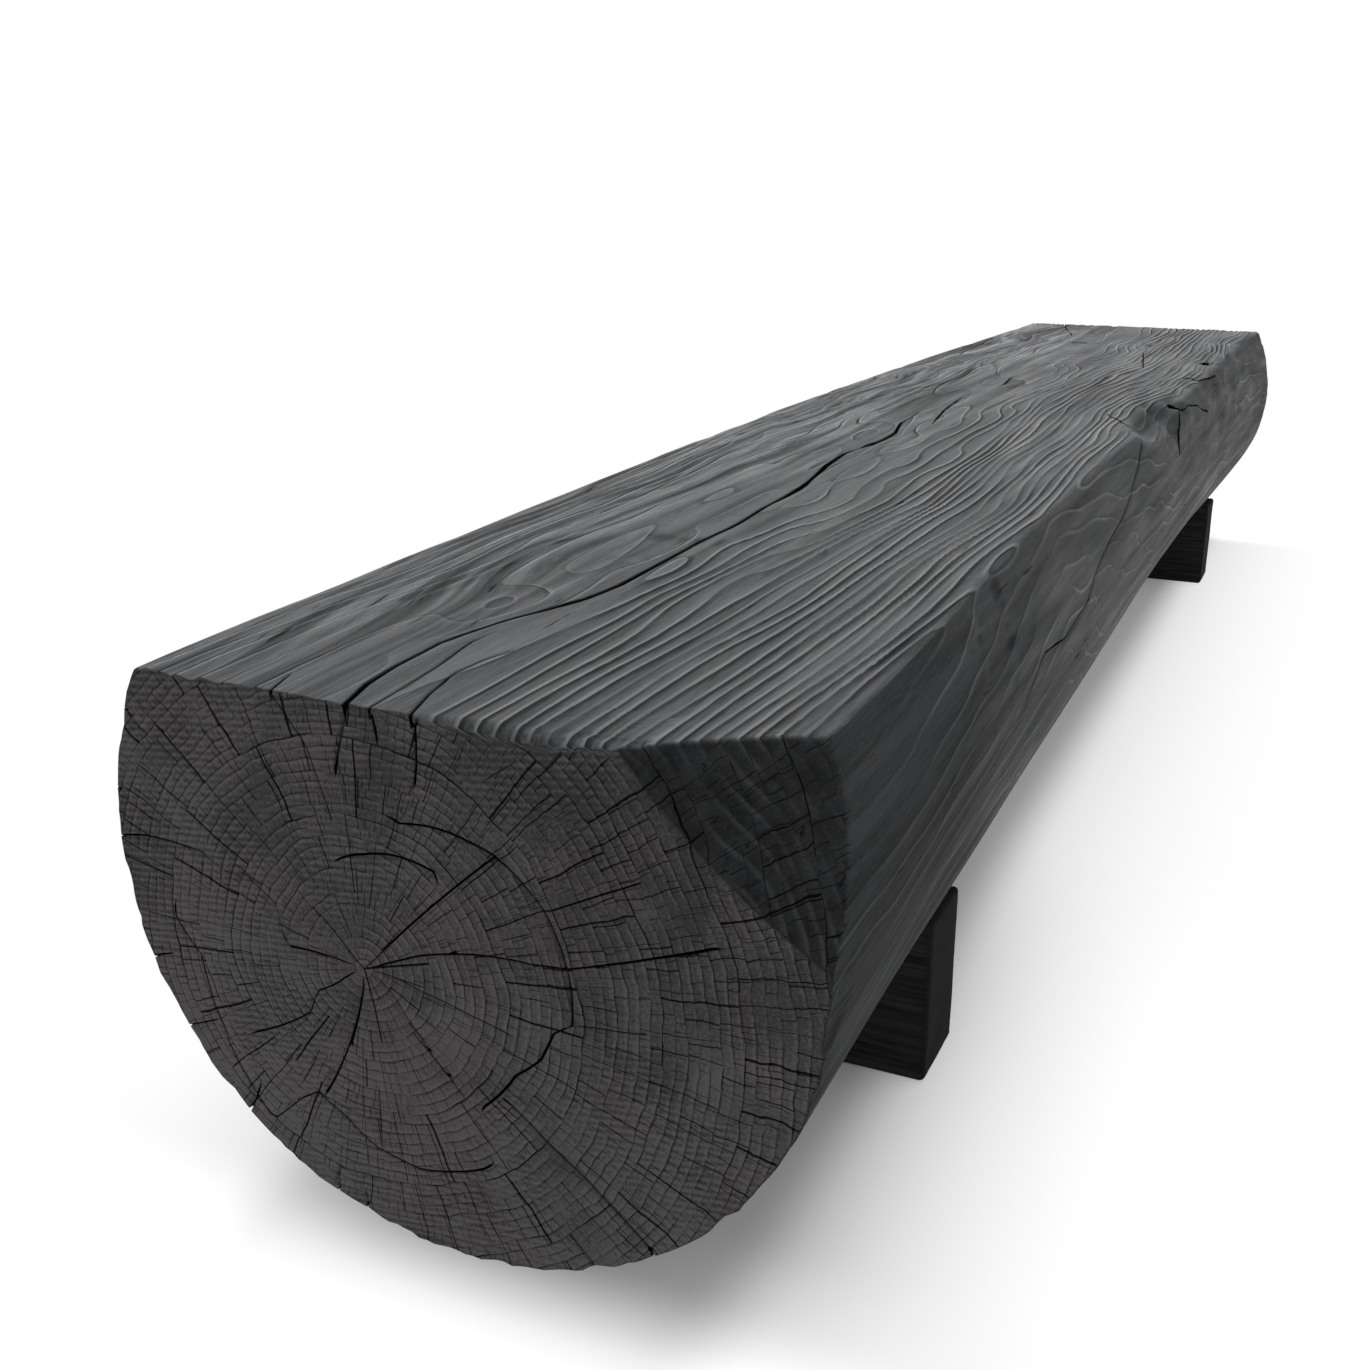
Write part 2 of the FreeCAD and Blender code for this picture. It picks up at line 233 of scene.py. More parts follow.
# The burled stretch of the front edge: place and reach across and up, where it starts and fades along.
BURL_PLACE = (-0.23, 0.39)
BURL_REACH = (0.07, 0.08)
BURL_STARTS = (1.5, 1.75)
BURL_FADES = (2.4, 2.6)
BURL_DEPTH = 7 * MM
# Chips out of the left end's rim: depth in millimetres, metres from chip to chip, seed.
CHIPS = ((2.4, (1.0, 0.034, 0.034), 41), (1.0, (1.0, 0.014, 0.014), 42))

# Checks on the left end: distance from the pith in millimetres and degrees, 0 to the front and 90 up.
# A check that starts at the rim has this distance, which is farther out than any of the rim.
RIM = 400
END_CHECKS = (
    # column or none, path from outside in, half width, depth
    (MAIN_CHECK, ((RIM, 90), (128, 95)), 1.8, 9),
    (SECOND_CHECK, ((RIM, 83), (153, 81)), 1.1, 5),
    (THIRD_CHECK, ((RIM, 76), (137, 72)), 1.2, 6),
    (REAR_CHECK, ((RIM, 105), (147, 100), (98, 97)), 0.8, 4),
    (None, ((139, 44), (18, 47)), 0.9, 4),
    (None, ((252, 16), (150, 13), (127, 14), (90, 19), (43, 24), (6, 22)), 0.9, 4),
    (None, ((218, 27), (149, 27)), 0.7, 3),
    (None, ((195, 1), (150, -1)), 0.6, 3),
    (None, ((109, -11), (71, -10), (41, -7), (6, 0)), 0.6, 3),
    (None, ((85, -47), (68, -47), (35, -40), (6, -24)), 0.6, 3),
    (None, ((RIM, -37), (118, -35)), 1.4, 7),
    (None, ((108, 249), (25, 258), (6, 262)), 1.0, 5),
    (None, ((122, 272), (84, 273)), 0.6, 3),
    (None, ((122, 216), (61, 223), (45, 213), (27, 215), (5, 208)), 0.7, 3),
    (None, ((RIM, 207), (140, 208)), 0.8, 4),
    (None, ((RIM, 164), (178, 161), (136, 156), (116, 150)), 0.9, 4),
    (None, ((98, 152), (72, 154), (66, 165), (60, 177), (8, 172)), 0.7, 3),
    (None, ((88, 86), (70, 83), (51, 79), (31, 78), (4, 80)), 0.6, 3),
    (None, ((183, 128), (122, 126)), 0.6, 3),
    (None, ((193, 54), (167, 57)), 0.6, 3),
    (None, ((RIM, 140), (205, 141)), 0.7, 4),
    (None, ((RIM, 153), (198, 154)), 0.7, 4),
    (None, ((RIM, 191), (158, 190)), 0.8, 5),
    (None, ((RIM, 232), (146, 230)), 1.3, 7),
    (None, ((RIM, 253), (158, 252)), 0.8, 5),
    (None, ((RIM, 266), (166, 265)), 0.8, 5),
    (None, ((RIM, 276), (176, 275)), 0.8, 5),
    (None, ((101, 284), (83, 285)), 2.4, 9),
)
SHAKE_PATH = (
    # degrees, distance from the pith, depth, in millimetres: one loop through the ring cracks
    (-90, 131, 4), (-76, 142, 4), (-58, 148, 3), (-54, 147, 0), (-47, 115, 0), (-44, 114, 3), (-26, 118, 5),
    (-16, 130, 5), (-5, 136, 5), (0, 148, 6), (13, 150, 7), (30, 148, 6), (44, 139, 4), (51, 131, 3),
    (57, 126, 3), (74, 111, 2), (80, 112, 0), (120, 128, 0), (178, 152, 0), (181, 152, 3), (190, 136, 4),
    (213, 140, 4), (224, 148, 4), (239, 159, 3), (243, 127, 3), (248, 111, 3), (258, 117, 4), (270, 131, 4),
)
ARC_PATH = (
    (-90, 70, 0), (48, 90, 0), (54, 96, 2), (71, 88, 3), (86, 80, 3), (101, 75, 2), (110, 72, 0),
    (270, 70, 0),
)
SHAKE_HALF_WIDTH = 1.2 * MM
# Each end is a stack of levels from its rim to its pith. Two of the left end's lie on its ring cracks.
SHAKE_LEVEL = 36
ARC_LEVEL = 46
NEAR_LEVELS = 58
FAR_LEVELS = 24
# Past these levels, columns are drawn together in pairs and in fours.
NEAR_THINNING = ((SHAKE_LEVEL + 3, 2), (ARC_LEVEL + 3, 4))
FAR_THINNING = ((3, 2), (15, 4))
# A check that ends nearer to the pith than these millimetres has a column that is kept past the thinning.
PAIR_REACH = 112
FOUR_REACH = 78
END_WEAR = 1.2 * MM
# Distance from the rim to the first level.
RIM_LEVEL = 1.6 * MM
# Least angle from one column of a level to the next, so that none crosses its neighbour.
LEAST_TURN = 6e-5

# Heights between which the flank's ridges grow from faint to full.
CALM_HEIGHT = (0.20, 0.34)
# Stretches near the left end over which the fibres bend, the ridges stay faint and the flank is dull.
BEND_SPAN = (-1.32, -0.8)
CALM_SPAN = (-1.25, -0.8)
MATT_SPAN = (-1.2, -0.6)
# Strip across the seat where its fibres begin to drift.
REAR_STRIP = (0.03, 0.15)
# Shares of the fringe between which the scoop's own face begins.
FACET_FRINGE = (0.88, 0.97)
# Noise in the log's wood, by place and along its drifting fibres: waves a metre along, across and up, finer
# layers, and their strength.
PLACE_NOISE = {
    "drift": ((2.6, 7.0, 7.0), 1.0),
    "wobble": ((14.0, 110.0, 110.0), 2.0),
    "speckle": ((520.0, 520.0, 520.0), 2.0),
    "vigour": ((3.0, 26.0, 26.0), 2.0),
    "sway": ((4.0, 13.0, 13.0), 3.0),
    "patches": ((5.0, 18.0, 18.0), 2.0),
    "bends": ((40.0, 40.0, 40.0), 3.0),
    "sawing": ((7.0, 7.0, 7.0), 2.0),
    "fray": ((60.0, 180.0, 180.0), 2.0),
}
FLOW_NOISE = {
    "fibre": ((8.0, 330.0, 330.0), 5.0, 0.65),
    "hair": ((45.0, 620.0, 620.0), 3.0, 0.6),
    "mottle": ((5.0, 24.0, 24.0), 4.0),
    "streak": ((12.0, 160.0, 160.0), 2.0),
    "band": ((2.2, 60.0, 60.0), 3.0),
}
# The same for the feet's fibre, streak and mottle, and for the zinc's spangle and scratches.
FOOT_NOISE = (((330.0, 14.0, 330.0), 5.0, 0.65), ((150.0, 6.0, 230.0), 3.0, 0.6), ((30.0, 8.0, 30.0), 4.0))
ZINC_NOISE = (((160.0, 160.0, 160.0), 3.0), ((900.0, 900.0, 300.0), 2.0))
# Distance from the middle of a foot at which its sawn end begins.
FOOT_END = (0.2155, 0.2225)
# Fine checks on the ends, bold to faint: rings in a band, distance from check to check, half width, seed.
FINE_CHECKS = (
    (7.0, 30 * MM, 0.9 * MM, 3.0),
    (3.0, 13 * MM, 0.6 * MM, 11.0),
    (1.0, 6.5 * MM, 0.4 * MM, 23.0),
)
SAW_PITCH = 4.8 * MM
BROWN_CAST = (1.05, 0.97, 0.99)
WHITE = (1, 1, 1, 1)

# The floor lies this far under the soles, so that the two do not share a plane.
FLOOR_GAP = 0.3 * MM
FLOOR_REACH = 60.0
# How white the camera sees the floor beside the log, as painted white glow over its rendered shadow: a step
# from and to a distance across with its two shares of white, then where the white climbs on and how fast.
LIT_BESIDE_LOG = ((0.145, 0.225, 0.13, 0.68), 0.22, 1.5)
LIT_BESIDE_FOOT = ((0.155, 0.235, 0.04, 0.40), 0.225, 4.0)
# Along the log: where the thinner painted white, and so deeper shade, by the near foot starts and ends, and
# where the white covers all shade.
NEAR_SHADE_STARTS = (-1.27, -1.15)
NEAR_SHADE_ENDS = (-0.9, -0.35)
LIT_PAST_END = (LOG_LENGTH / 2 - 0.09, LOG_LENGTH / 2 + 0.04)
LAMP_SPREAD = math.radians(60)
LAMP_HEADING = (-0.12, -0.16, -1)
# The camera that the photograph was taken from, found by fitting the bench's edges.
CAMERA_PLACE = (-2.0009, -0.4993, 0.7124)
CAMERA_YAW = math.radians(24.844)
CAMERA_PITCH = math.radians(18.507)


class LogSettings(bpy.types.PropertyGroup):
    """Sizes and colours of the charred log."""

    ring_width: FloatProperty(
        name="Ring width",
        description="Growth ring from one crest to the next",
        default=7.4 * MM,
        unit="LENGTH",
    )
    seat_ridge: FloatProperty(
        name="Seat ridge",
        description="Height of the brushed ridges on the seat",
        default=1.6 * MM,
        unit="LENGTH",
    )
    flank_ridge: FloatProperty(
        name="Flank ridge",
        description="Height of the ring steps on the flanks",
        default=1.1 * MM,
        unit="LENGTH",
    )
    groove_colour: FloatVectorProperty(
        name="Groove",
        description="Char between the ridges",
        default=(0.004, 0.0041, 0.0043),
        subtype="COLOR",
    )
    plain_colour: FloatVectorProperty(
        name="Plain",
        description="Brushed char",
        default=(0.036, 0.0384, 0.0418),
        subtype="COLOR",
    )
    # Crests: bare brushed ridges, paler also as a painted highlight where they catch the light.
    crest_and_highlight_colour: FloatVectorProperty(
        name="Crest",
        description="Bare ridges",
        default=(0.150, 0.153, 0.158),
        subtype="COLOR",
    )
    end_colour: FloatVectorProperty(
        name="End grain",
        description="Char on the sawn ends",
        default=(0.0735, 0.0702, 0.0708),
        subtype="COLOR",
    )
    # Matt black of the soot in the cracks, also used for the painted shadow in the grooves and ring gaps.
    soot_and_shadow_colour: FloatVectorProperty(
        name="Crack",
        description="Soot inside the cracks",
        default=(0.0016, 0.0016, 0.0017),
        subtype="COLOR",
    )


class FootSettings(bpy.types.PropertyGroup):
    """Sizes and colours of the cross feet and their fasteners."""

    edge_round: FloatProperty(
        name="Edge",
        description="Radius of a foot's softened edges",
        default=5 * MM,
        unit="LENGTH",
    )
    ridge: FloatProperty(
        name="Ridge",
        description="Height of the brushed ridges on the feet",
        default=0.4 * MM,
        unit="LENGTH",
    )
    char_colour: FloatVectorProperty(
        name="Char",
        description="Char of the feet",
        default=(0.0212, 0.0212, 0.0217),
        subtype="COLOR",
    )
    zinc_colour: FloatVectorProperty(
        name="Zinc",
        description="Plating of the screws and washers",
        default=(0.55, 0.56, 0.58),
        subtype="COLOR",
    )


class StageSettings(bpy.types.PropertyGroup):
    """Light and floor of the stage."""

    floor_colour: FloatVectorProperty(
        name="Floor",
        description="Colour of the floor",
        default=(0.955, 0.955, 0.958),
        subtype="COLOR",
    )
    sky: FloatProperty(
        name="Sky",
        description="Even light from all round",
        default=0.56,
        min=0,
    )
    lamp: FloatProperty(
        name="Lamp",
        description="Soft light from above",
        default=1.45,
        min=0,
    )
    lens: FloatProperty(
        name="Lens",
        description="Focal length in millimetres on a sensor of 36",
        default=39.776,
        min=1,
    )


class Wire:
    """A socket of a material's nodes that can stand in a sum."""

    def __init__(self, finish, socket):
        self.finish = finish
        self.socket = socket

    def work(self, operation, *terms):
        return self.finish.node("ShaderNodeMath", {"operation": operation}, dict(enumerate(terms)))

    def __add__(self, other):
        return self.work("ADD", self, other)

    def __sub__(self, other):
        return self.work("SUBTRACT", self, other)

    def __rsub__(self, other):
        return self.work("SUBTRACT", other, self)

    def __mul__(self, other):
        return self.work("MULTIPLY", self, other)

    def __truediv__(self, other):
        return self.work("DIVIDE", self, other)

    def __pow__(self, other):
        return self.work("POWER", self, other)

    def least(self, other):
        return self.work("MINIMUM", self, other)

    def most(self, other):
        return self.work("MAXIMUM", self, other)

    def fract(self):
        return self.work("FRACT", self)

    def floor(self):
        return self.work("FLOOR", self)

    def size(self):
        return self.work("ABSOLUTE", self)

    __radd__ = __add__
    __rmul__ = __mul__


class Finish:
    """A material or world whose nodes are added one call at a time."""

    def __init__(self, tree):
        self.tree = tree
        tree.nodes.clear()

    def node(self, kind, settings=None, sockets=None, out=0):
        made = self.tree.nodes.new(kind)
        for name, value in (settings or {}).items():
            setattr(made, name, value)
        for name, value in (sockets or {}).items():
            if isinstance(value, Wire):
                self.tree.links.new(value.socket, made.inputs[name])
            else:
                made.inputs[name].default_value = value
        return Wire(self, made.outputs[out]) if len(made.outputs) else made

    def ramp(self, value, low, high, to_low=0.0, to_high=1.0):
        """A soft step of value between low and high."""
        ends = {"Value": value, "From Min": low, "From Max": high, "To Min": to_low, "To Max": to_high}
        return self.node("ShaderNodeMapRange", {"interpolation_type": "SMOOTHSTEP"}, ends)

    def fall(self, value, low, high):
        """A soft step down from 1."""
        return self.ramp(value, low, high, 1.0, 0.0)

    def hump(self, value, climb, drop):
        """1 between a soft step up and a soft step down."""
        return self.ramp(value, *climb) * self.fall(value, *drop)

    def blend(self, share, first, second):
        """A colour between two."""
        settings = {"data_type": "RGBA"}
        return self.node("ShaderNodeMix", settings, {0: share, 6: first, 7: second}, out=2)

    def grain(self, place, stretch, detail=3.0, rough=0.55):
        """Noise about 0.5, with so many waves a metre along each axis."""
        mapped = self.node("ShaderNodeMapping", {"vector_type": "POINT"}, {"Vector": place, "Scale": stretch})
        sockets = {"Vector": mapped, "Scale": 1.0, "Detail": detail, "Roughness": rough}
        return self.node("ShaderNodeTexNoise", {"noise_dimensions": "3D"}, sockets)

    def split(self, place):
        """The three numbers of a vector."""
        parts = self.node("ShaderNodeSeparateXYZ", None, {0: place}).socket.node
        return [Wire(self, socket) for socket in parts.outputs]

    def dice(self, *numbers):
        """Three chance numbers that stay the same for the same input."""
        settings = {"noise_dimensions": "3D"}
        sockets = {"Vector": self.merge(*numbers)}
        return self.split(self.node("ShaderNodeTexWhiteNoise", settings, sockets, out="Color"))

    def merge(self, *numbers):
        """A vector from three numbers."""
        return self.node("ShaderNodeCombineXYZ", None, dict(enumerate(numbers)))

    def vector(self, operation, first, second=None, out=0):
        sockets = {0: first} if second is None else {0: first, 1: second}
        return self.node("ShaderNodeVectorMath", {"operation": operation}, sockets, out=out)

    def attribute(self, name, out="Fac"):
        settings = {"attribute_type": "GEOMETRY", "attribute_name": name}
        return self.node("ShaderNodeAttribute", settings, out=out)

    def bump(self, height, strength, distance):
        sockets = {"Strength": strength, "Distance": distance, "Height": height}
        return self.node("ShaderNodeBump", None, sockets)

    def surface(self, base, roughness, specular, more=None):
        sockets = {"Base Color": base, "Roughness": roughness, "Specular IOR Level": specular, **(more or {})}
        return self.node("ShaderNodeBsdfPrincipled", None, sockets)

    def close(self, shader):
        self.node("ShaderNodeOutputMaterial", None, {"Surface": shader})


def colour(values, share=1.0):
    """A colour for a socket, darker or paler by a share."""
    return (*(value * share for value in values), 1.0)


def new_material(name):
    material = bpy.data.materials.new(name)
    material.use_nodes = True
    return material, Finish(material.node_tree)


def link_object(name, data):
    """A new object in the scene, at the origin."""
    made = bpy.data.objects.new(name, data)
    bpy.context.scene.collection.objects.link(made)
    return made


def mesh_of(name, shaping):
    """A mesh from a finished bmesh, which is freed."""
    mesh = bpy.data.meshes.new(name)
    shaping.to_mesh(mesh)
    shaping.free()
    return mesh


def waves(points, stretch, seed, count=16):
    """Smooth noise, mostly between -1 and 1, with about stretch metres from crest to crest."""
    draw = np.random.default_rng(seed)
    heading = draw.normal(size=(count, 3))
    heading /= np.linalg.norm(heading, axis=1)[:, None]
    pace = draw.uniform(0.6, 1.5, size=(count, 1))
    phase = draw.uniform(0, FULL_TURN, count)
    turns = heading * pace * (FULL_TURN / np.array(stretch))
    return np.cos(points @ turns.T + phase).sum(-1) * math.sqrt(1.1 / count)


def clipped_waves(points, stretch, seed):
    return np.clip(waves(points, stretch, seed), -1, 1)


def half_waves(points, stretch, seed):
    """The same smooth noise between 0 and 1."""
    return 0.5 + 0.5 * clipped_waves(points, stretch, seed)


def sway_of(points, table):
    """Sum of a table's waves, in metres."""
    return sum(size * MM * waves(points, stretch, seed) for size, stretch, seed in table)


def along_path(path, distance):
    """The second column of a table in millimetres, read at distances in metres."""
    table = np.array(path, float) * MM
    return np.interp(distance, table[:, 0], table[:, 1])


def soft_step(value, low, high):
    share = np.clip((value - low) / (high - low), 0, 1)
    return share * share * (3 - 2 * share)


def soft_max(first, second, reach):
    """The larger of two, with the bend between them rounded over reach."""
    near = np.maximum(reach - np.abs(first - second), 0) / np.maximum(reach, 1e-9)
    return np.maximum(first, second) + near * near * reach / 4


class LogForm:
    """The log's bare form, measured on the solid log."""

    # Rays in degrees, 0 to the front and 90 up, that miss the seat, the scoop, the hollow and the housings.
    RAYS = (-15, -30, 168, 180, 195, 210)
    RAY_HEIGHT = 298 * MM
    STATIONS = 60
    END_GAP = 3 * MM

    def __init__(self):
        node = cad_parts["seat_log"].data
        tree = BVHTree.FromPolygons([v.co for v in node.vertices], [p.vertices for p in node.polygons])
        self.stations = np.linspace(LOG_LOW.x + self.END_GAP, LOG_HIGH.x - self.END_GAP, self.STATIONS)
        circles = []
        for station in self.stations:
            start = Vector((station, 0, self.RAY_HEIGHT))
            hits = []
            for degrees in self.RAYS:
                angle = math.radians(degrees)
                hit = tree.ray_cast(start, Vector((0, -math.cos(angle), math.sin(angle))))[0]
                if hit is None:
                    raise RuntimeError("no log wall at %.3f" % station)
                hits.append((hit.y, hit.z))
            circles.append(self.fit_circle(np.array(hits)))
        self.circles = np.array(circles)
        corner = Vector((LOG_LOW.x, self.edges(LOG_LOW.x)[0], SEAT_HEIGHT))
        heading = Vector((
            -math.cos(SCOOP_TILT) * math.cos(SCOOP_TURN),
            -math.cos(SCOOP_TILT) * math.sin(SCOOP_TURN),
            math.sin(SCOOP_TILT),
        ))
        self.scoop = np.array(corner + heading * (SCOOP_RADIUS - SCOOP_DEPTH))
        hollow_x = LOG_LOW.x + HOLLOW_ALONG
        out = (HOLLOW_RADIUS - HOLLOW_DEPTH) / math.sqrt(2)
        self.hollow = np.array((hollow_x, self.edges(hollow_x)[0] - out, SEAT_HEIGHT + out))

    @staticmethod
    def fit_circle(hits):
        terms = np.column_stack((hits, np.ones(len(hits))))
        solved = np.linalg.lstsq(terms, (hits ** 2).sum(1), rcond=None)[0]
        centre = solved[:2] / 2
        return (*centre, math.sqrt(solved[2] + centre @ centre))

    def section(self, x):
        """Centre across, centre height and radius of the round log."""
        return [np.interp(x, self.stations, self.circles[:, place]) for place in range(3)]

    def edges(self, x):
        """Front and rear edge of the sharp seat."""
        across, height, radius = self.section(x)
        half = np.sqrt(radius ** 2 - (SEAT_HEIGHT - height) ** 2)
        return across - half, across + half

    def rise(self, x):
        """Angle of the seat's edges above the log's axis."""
        _, height, radius = self.section(x)
        return np.arcsin((SEAT_HEIGHT - height) / radius)

    def share_at_height(self, x, height):
        """Place on the front flank: 0 at the bottom, 1 at the seat's edge."""
        _, middle, radius = self.section(x)
        angle = np.arcsin(np.clip((height - middle) / radius, -1, 1))
        return (angle + math.pi / 2) / (self.rise(x) + math.pi / 2)

    def sharp_point(self, x, share):
        """Point of the sharp section: shares 0 to 1 front flank, 1 to 2 seat, 2 to 3 rear flank."""
        across, height, radius = self.section(x)
        rise = self.rise(x)
        front, rear = self.edges(x)
        flank = np.where(share > 1.5, 3 - share, share)
        angle = np.clip(flank, 0, 1) * (rise + math.pi / 2) - math.pi / 2
        side = np.where(share > 1.5, 1.0, -1.0)
        on_seat = (share > 1) & (share < 2)
        y = np.where(on_seat, front + (share - 1) * (rear - front), across + side * radius * np.cos(angle))
        z = np.where(on_seat, SEAT_HEIGHT, height + radius * np.sin(angle))
        return y, z

    def scoop_depth(self, points):
        """Above nothing inside the ball that cuts the scoop."""
        return SCOOP_RADIUS - np.linalg.norm(points - self.scoop, axis=-1)

    def depth_outside(self, points, front_round, rear_round):
        """Below nothing inside the log, above nothing outside it."""
        x, y, z = points[..., 0], points[..., 1], points[..., 2]
        across, height, radius = self.section(x)
        barrel = np.hypot(y - across, z - height) - radius
        arris = np.where(y < across, front_round, rear_round)
        body = soft_max(barrel, z - SEAT_HEIGHT, arris)
        body = soft_max(body, self.scoop_depth(points), SCOOP_ROUND)
        reach = np.array((HOLLOW_LENGTH, HOLLOW_RADIUS, HOLLOW_RADIUS))
        hollow = (1 - np.linalg.norm((points - self.hollow) / reach, axis=-1)) * HOLLOW_RADIUS
        return soft_max(body, hollow, HOLLOW_ROUND)


def log_rows():
    """Distances of the skin's rows from the left end, and which of them lie in a foot's housing."""
    marks = [END_ROW, LOG_LENGTH - END_ROW, LOG_LENGTH]
    for low, high, count in ROW_SPANS:
        marks.extend(np.linspace(low, high, count, endpoint=False))
    marks = np.array(sorted(marks))
    housings = []
    for foot in FEET:
        low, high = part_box(foot)
        first = low.x - HOUSING_ROOM - LOG_LOW.x
        last = high.x + HOUSING_ROOM - LOG_LOW.x
        clear = (np.abs(marks - first) > HOUSING_CLEAR) & (np.abs(marks - last) > HOUSING_CLEAR)
        walls = (first - WALL_GAP, first, last, last + WALL_GAP)
        marks = np.concatenate((marks[clear], walls))
        housings.append((first, last))
    marks = np.sort(marks)
    housed = np.zeros(len(marks), bool)
    for first, last in housings:
        housed |= (marks > first - WALL_GAP / 4) & (marks < last + WALL_GAP / 4)
    return marks, housed


def scoop_shares(form, x):
    """Where the scoop's edge crosses the seat and the front flank, as shares of the section."""
    front, rear = form.edges(x)
    seat_reach = SCOOP_RADIUS ** 2 - (SEAT_HEIGHT - form.scoop[2]) ** 2 - (x - form.scoop[0]) ** 2
    seat_edge = form.scoop[1] + math.sqrt(max(seat_reach, 0))
    on_seat = 1 + (seat_edge - front) / (rear - front)
    lowest, steps = 0.6, 400
    tries = np.linspace(lowest, 1, steps)
    stay = np.full(steps, x)
    points = np.column_stack((stay, *form.sharp_point(stay, tries)))
    clear = np.linalg.norm(points - form.scoop, axis=1) > SCOOP_RADIUS
    on_flank = tries[clear].max() if clear.any() else lowest
    return on_seat, on_flank


def pin_column(pins, column, share, half):
    """Holds a column on its edge or crack, and its neighbours close beside it."""
    for side in (-1, 0, 1):
        pins[column + side] = share + side * half


def row_pins(form, distance):
    """The columns that are held in one row, with their places round the section."""
    x = LOG_LOW.x + distance
    front, rear = (float(edge) for edge in form.edges(x))
    wide = rear - front
    sweep = float(form.rise(x)) + math.pi / 2
    girth = float(form.section(x)[2]) * sweep
    low_share = LOW_ANGLE / sweep
    crack = float(form.share_at_height(x, along_path(FLANK_PATH, distance)))
    on_seat, on_flank = scoop_shares(form, x)
    away = float(soft_step(distance, *SCOOP_LEAVES))
    on_seat = max(on_seat, 1 + TIP_ROOM / wide) * (1 - away) + 1.2 * away
    on_flank = min(on_flank, 1 - TIP_ROOM / girth) * (1 - away) + (crack + 1) / 2 * away
    at_tip = SCOOP_TIP[0] < distance < SCOOP_TIP[1]
    scoop_half = 0.2 * MM if at_tip else 2 * MM
    arris_half = 0.25 * MM if at_tip else 2.4 * MM
    crack_half = max(along_path(FLANK_WIDTH, distance), CLOSED_HALF_WIDTH)
    pins = {0: 0.0, FRONT_LOW: low_share, REAR_LOW: 3 - low_share, COLUMNS: 3.0}
    pin_column(pins, FLANK_CRACK, crack, crack_half / girth)
    pin_column(pins, SCOOP_FLANK, on_flank, scoop_half / girth)
    pin_column(pins, FRONT_ARRIS, 1.0, arris_half / wide)
    pin_column(pins, SCOOP_SEAT, on_seat, scoop_half / wide)
    for column, path, widths in SEAT_CRACKS:
        half = max(along_path(widths, distance), CLOSED_HALF_WIDTH)
        pin_column(pins, column, 1 + (along_path(path, distance) - front) / wide, half / wide)
    pin_column(pins, REAR_ARRIS, 2.0, 2.4 * MM / wide)
    return pins


def column_shares(form, marks):
    """Place round the section of every column in every row: edges and cracks hold theirs, the rest follow."""
    shares = np.zeros((len(marks), COLUMNS + 1))
    for row, distance in enumerate(marks):
        pins = row_pins(form, distance)
        columns = sorted(pins)
        held = [pins[column] for column in columns]
        if min(np.diff(held)) <= 0:
            raise RuntimeError("columns cross %.0f mm from the left end" % (distance / MM))
        shares[row] = np.interp(np.arange(COLUMNS + 1), columns, held)
    return shares


def place_checks(form, shares):
    """Each check on the left end with its column: its own, or the nearest free one to its outer angle."""
    y, z = form.sharp_point(np.full(COLUMNS + 1, LOG_LOW.x), shares[0])
    turn = np.unwrap(np.arctan2(z - along_path(PITH_HEIGHT, 0.0), along_path(PITH_ACROSS, 0.0) - y))
    degrees = np.degrees(turn)
    taken = [check[0] for check in END_CHECKS if check[0]]
    most_off = 8
    margin = 4
    placed = []
    for column, path, half, deep in END_CHECKS:
        tied = column is not None
        if not tied:
            inmost = path[-1][0]
            step = 4 if inmost < FOUR_REACH else 2 if inmost < PAIR_REACH else 1
            off = np.abs(degrees - path[0][1])
            for candidate in np.argsort(off):
                apart = min(abs(candidate - other) for other in taken)
                inside = margin < candidate < COLUMNS - margin
                if candidate % step == 0 and inside and apart > 2 * step + 1:
                    column = int(candidate)
                    break
            if off[column] > most_off:
                continue
            taken.append(column)
        placed.append((column, tied, path, half, deep))
    return placed


def rim_checks(checks):
    """Column, half width and depth of each check that reaches the left end's rim off the seat's cracks."""
    at_rim = []
    for column, tied, path, half, deep in checks:
        if not tied and path[0][0] == RIM:
            at_rim.append((column, half, deep))
    return at_rim


def notch_rim(shares, marks, checks):
    """Draws the skin's columns together where a check of the left end reaches its rim."""
    metres_a_share = 0.52
    fade = soft_step(marks, 0.06, 0.16)
    for column, half, _ in rim_checks(checks):
        for side in (-1, 1):
            close = shares[:, column] + side * half * MM / metres_a_share
            shares[:, column + side] = close * (1 - fade) + shares[:, column + side] * fade


def bare_skin(form, marks, housed, shares):
    """Points of the log's skin before any relief."""
    x = np.repeat((LOG_LOW.x + marks)[:, None], COLUMNS + 1, 1)
    across, height, _ = form.section(x)
    y, z = form.sharp_point(x, shares)
    heading = np.stack((np.zeros_like(x), y - across, z - height), -1)
    start = np.stack((x, across, height), -1)
    distance = np.repeat(marks[:, None], COLUMNS + 1, 1)
    front_round = along_path(FRONT_ROUND, distance)
    rear_round = along_path(REAR_ROUND, distance)
    # Halves the way from well inside the log to just past its sharp section until it meets the skin.
    near = np.full_like(x, 0.2)
    far = np.full_like(x, 1.002)
    halvings = 26
    for _ in range(halvings):
        middle = (near + far) / 2
        outside = form.depth_outside(start + heading * middle[..., None], front_round, rear_round) > 0
        far = np.where(outside, middle, far)
        near = np.where(outside, near, middle)
    points = start + heading * near[..., None]
    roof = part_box(FEET[0])[1].z
    cut = housed[:, None] & (points[..., 2] < roof)
    points[..., 2] = np.where(cut, roof, points[..., 2])
    return points, cut


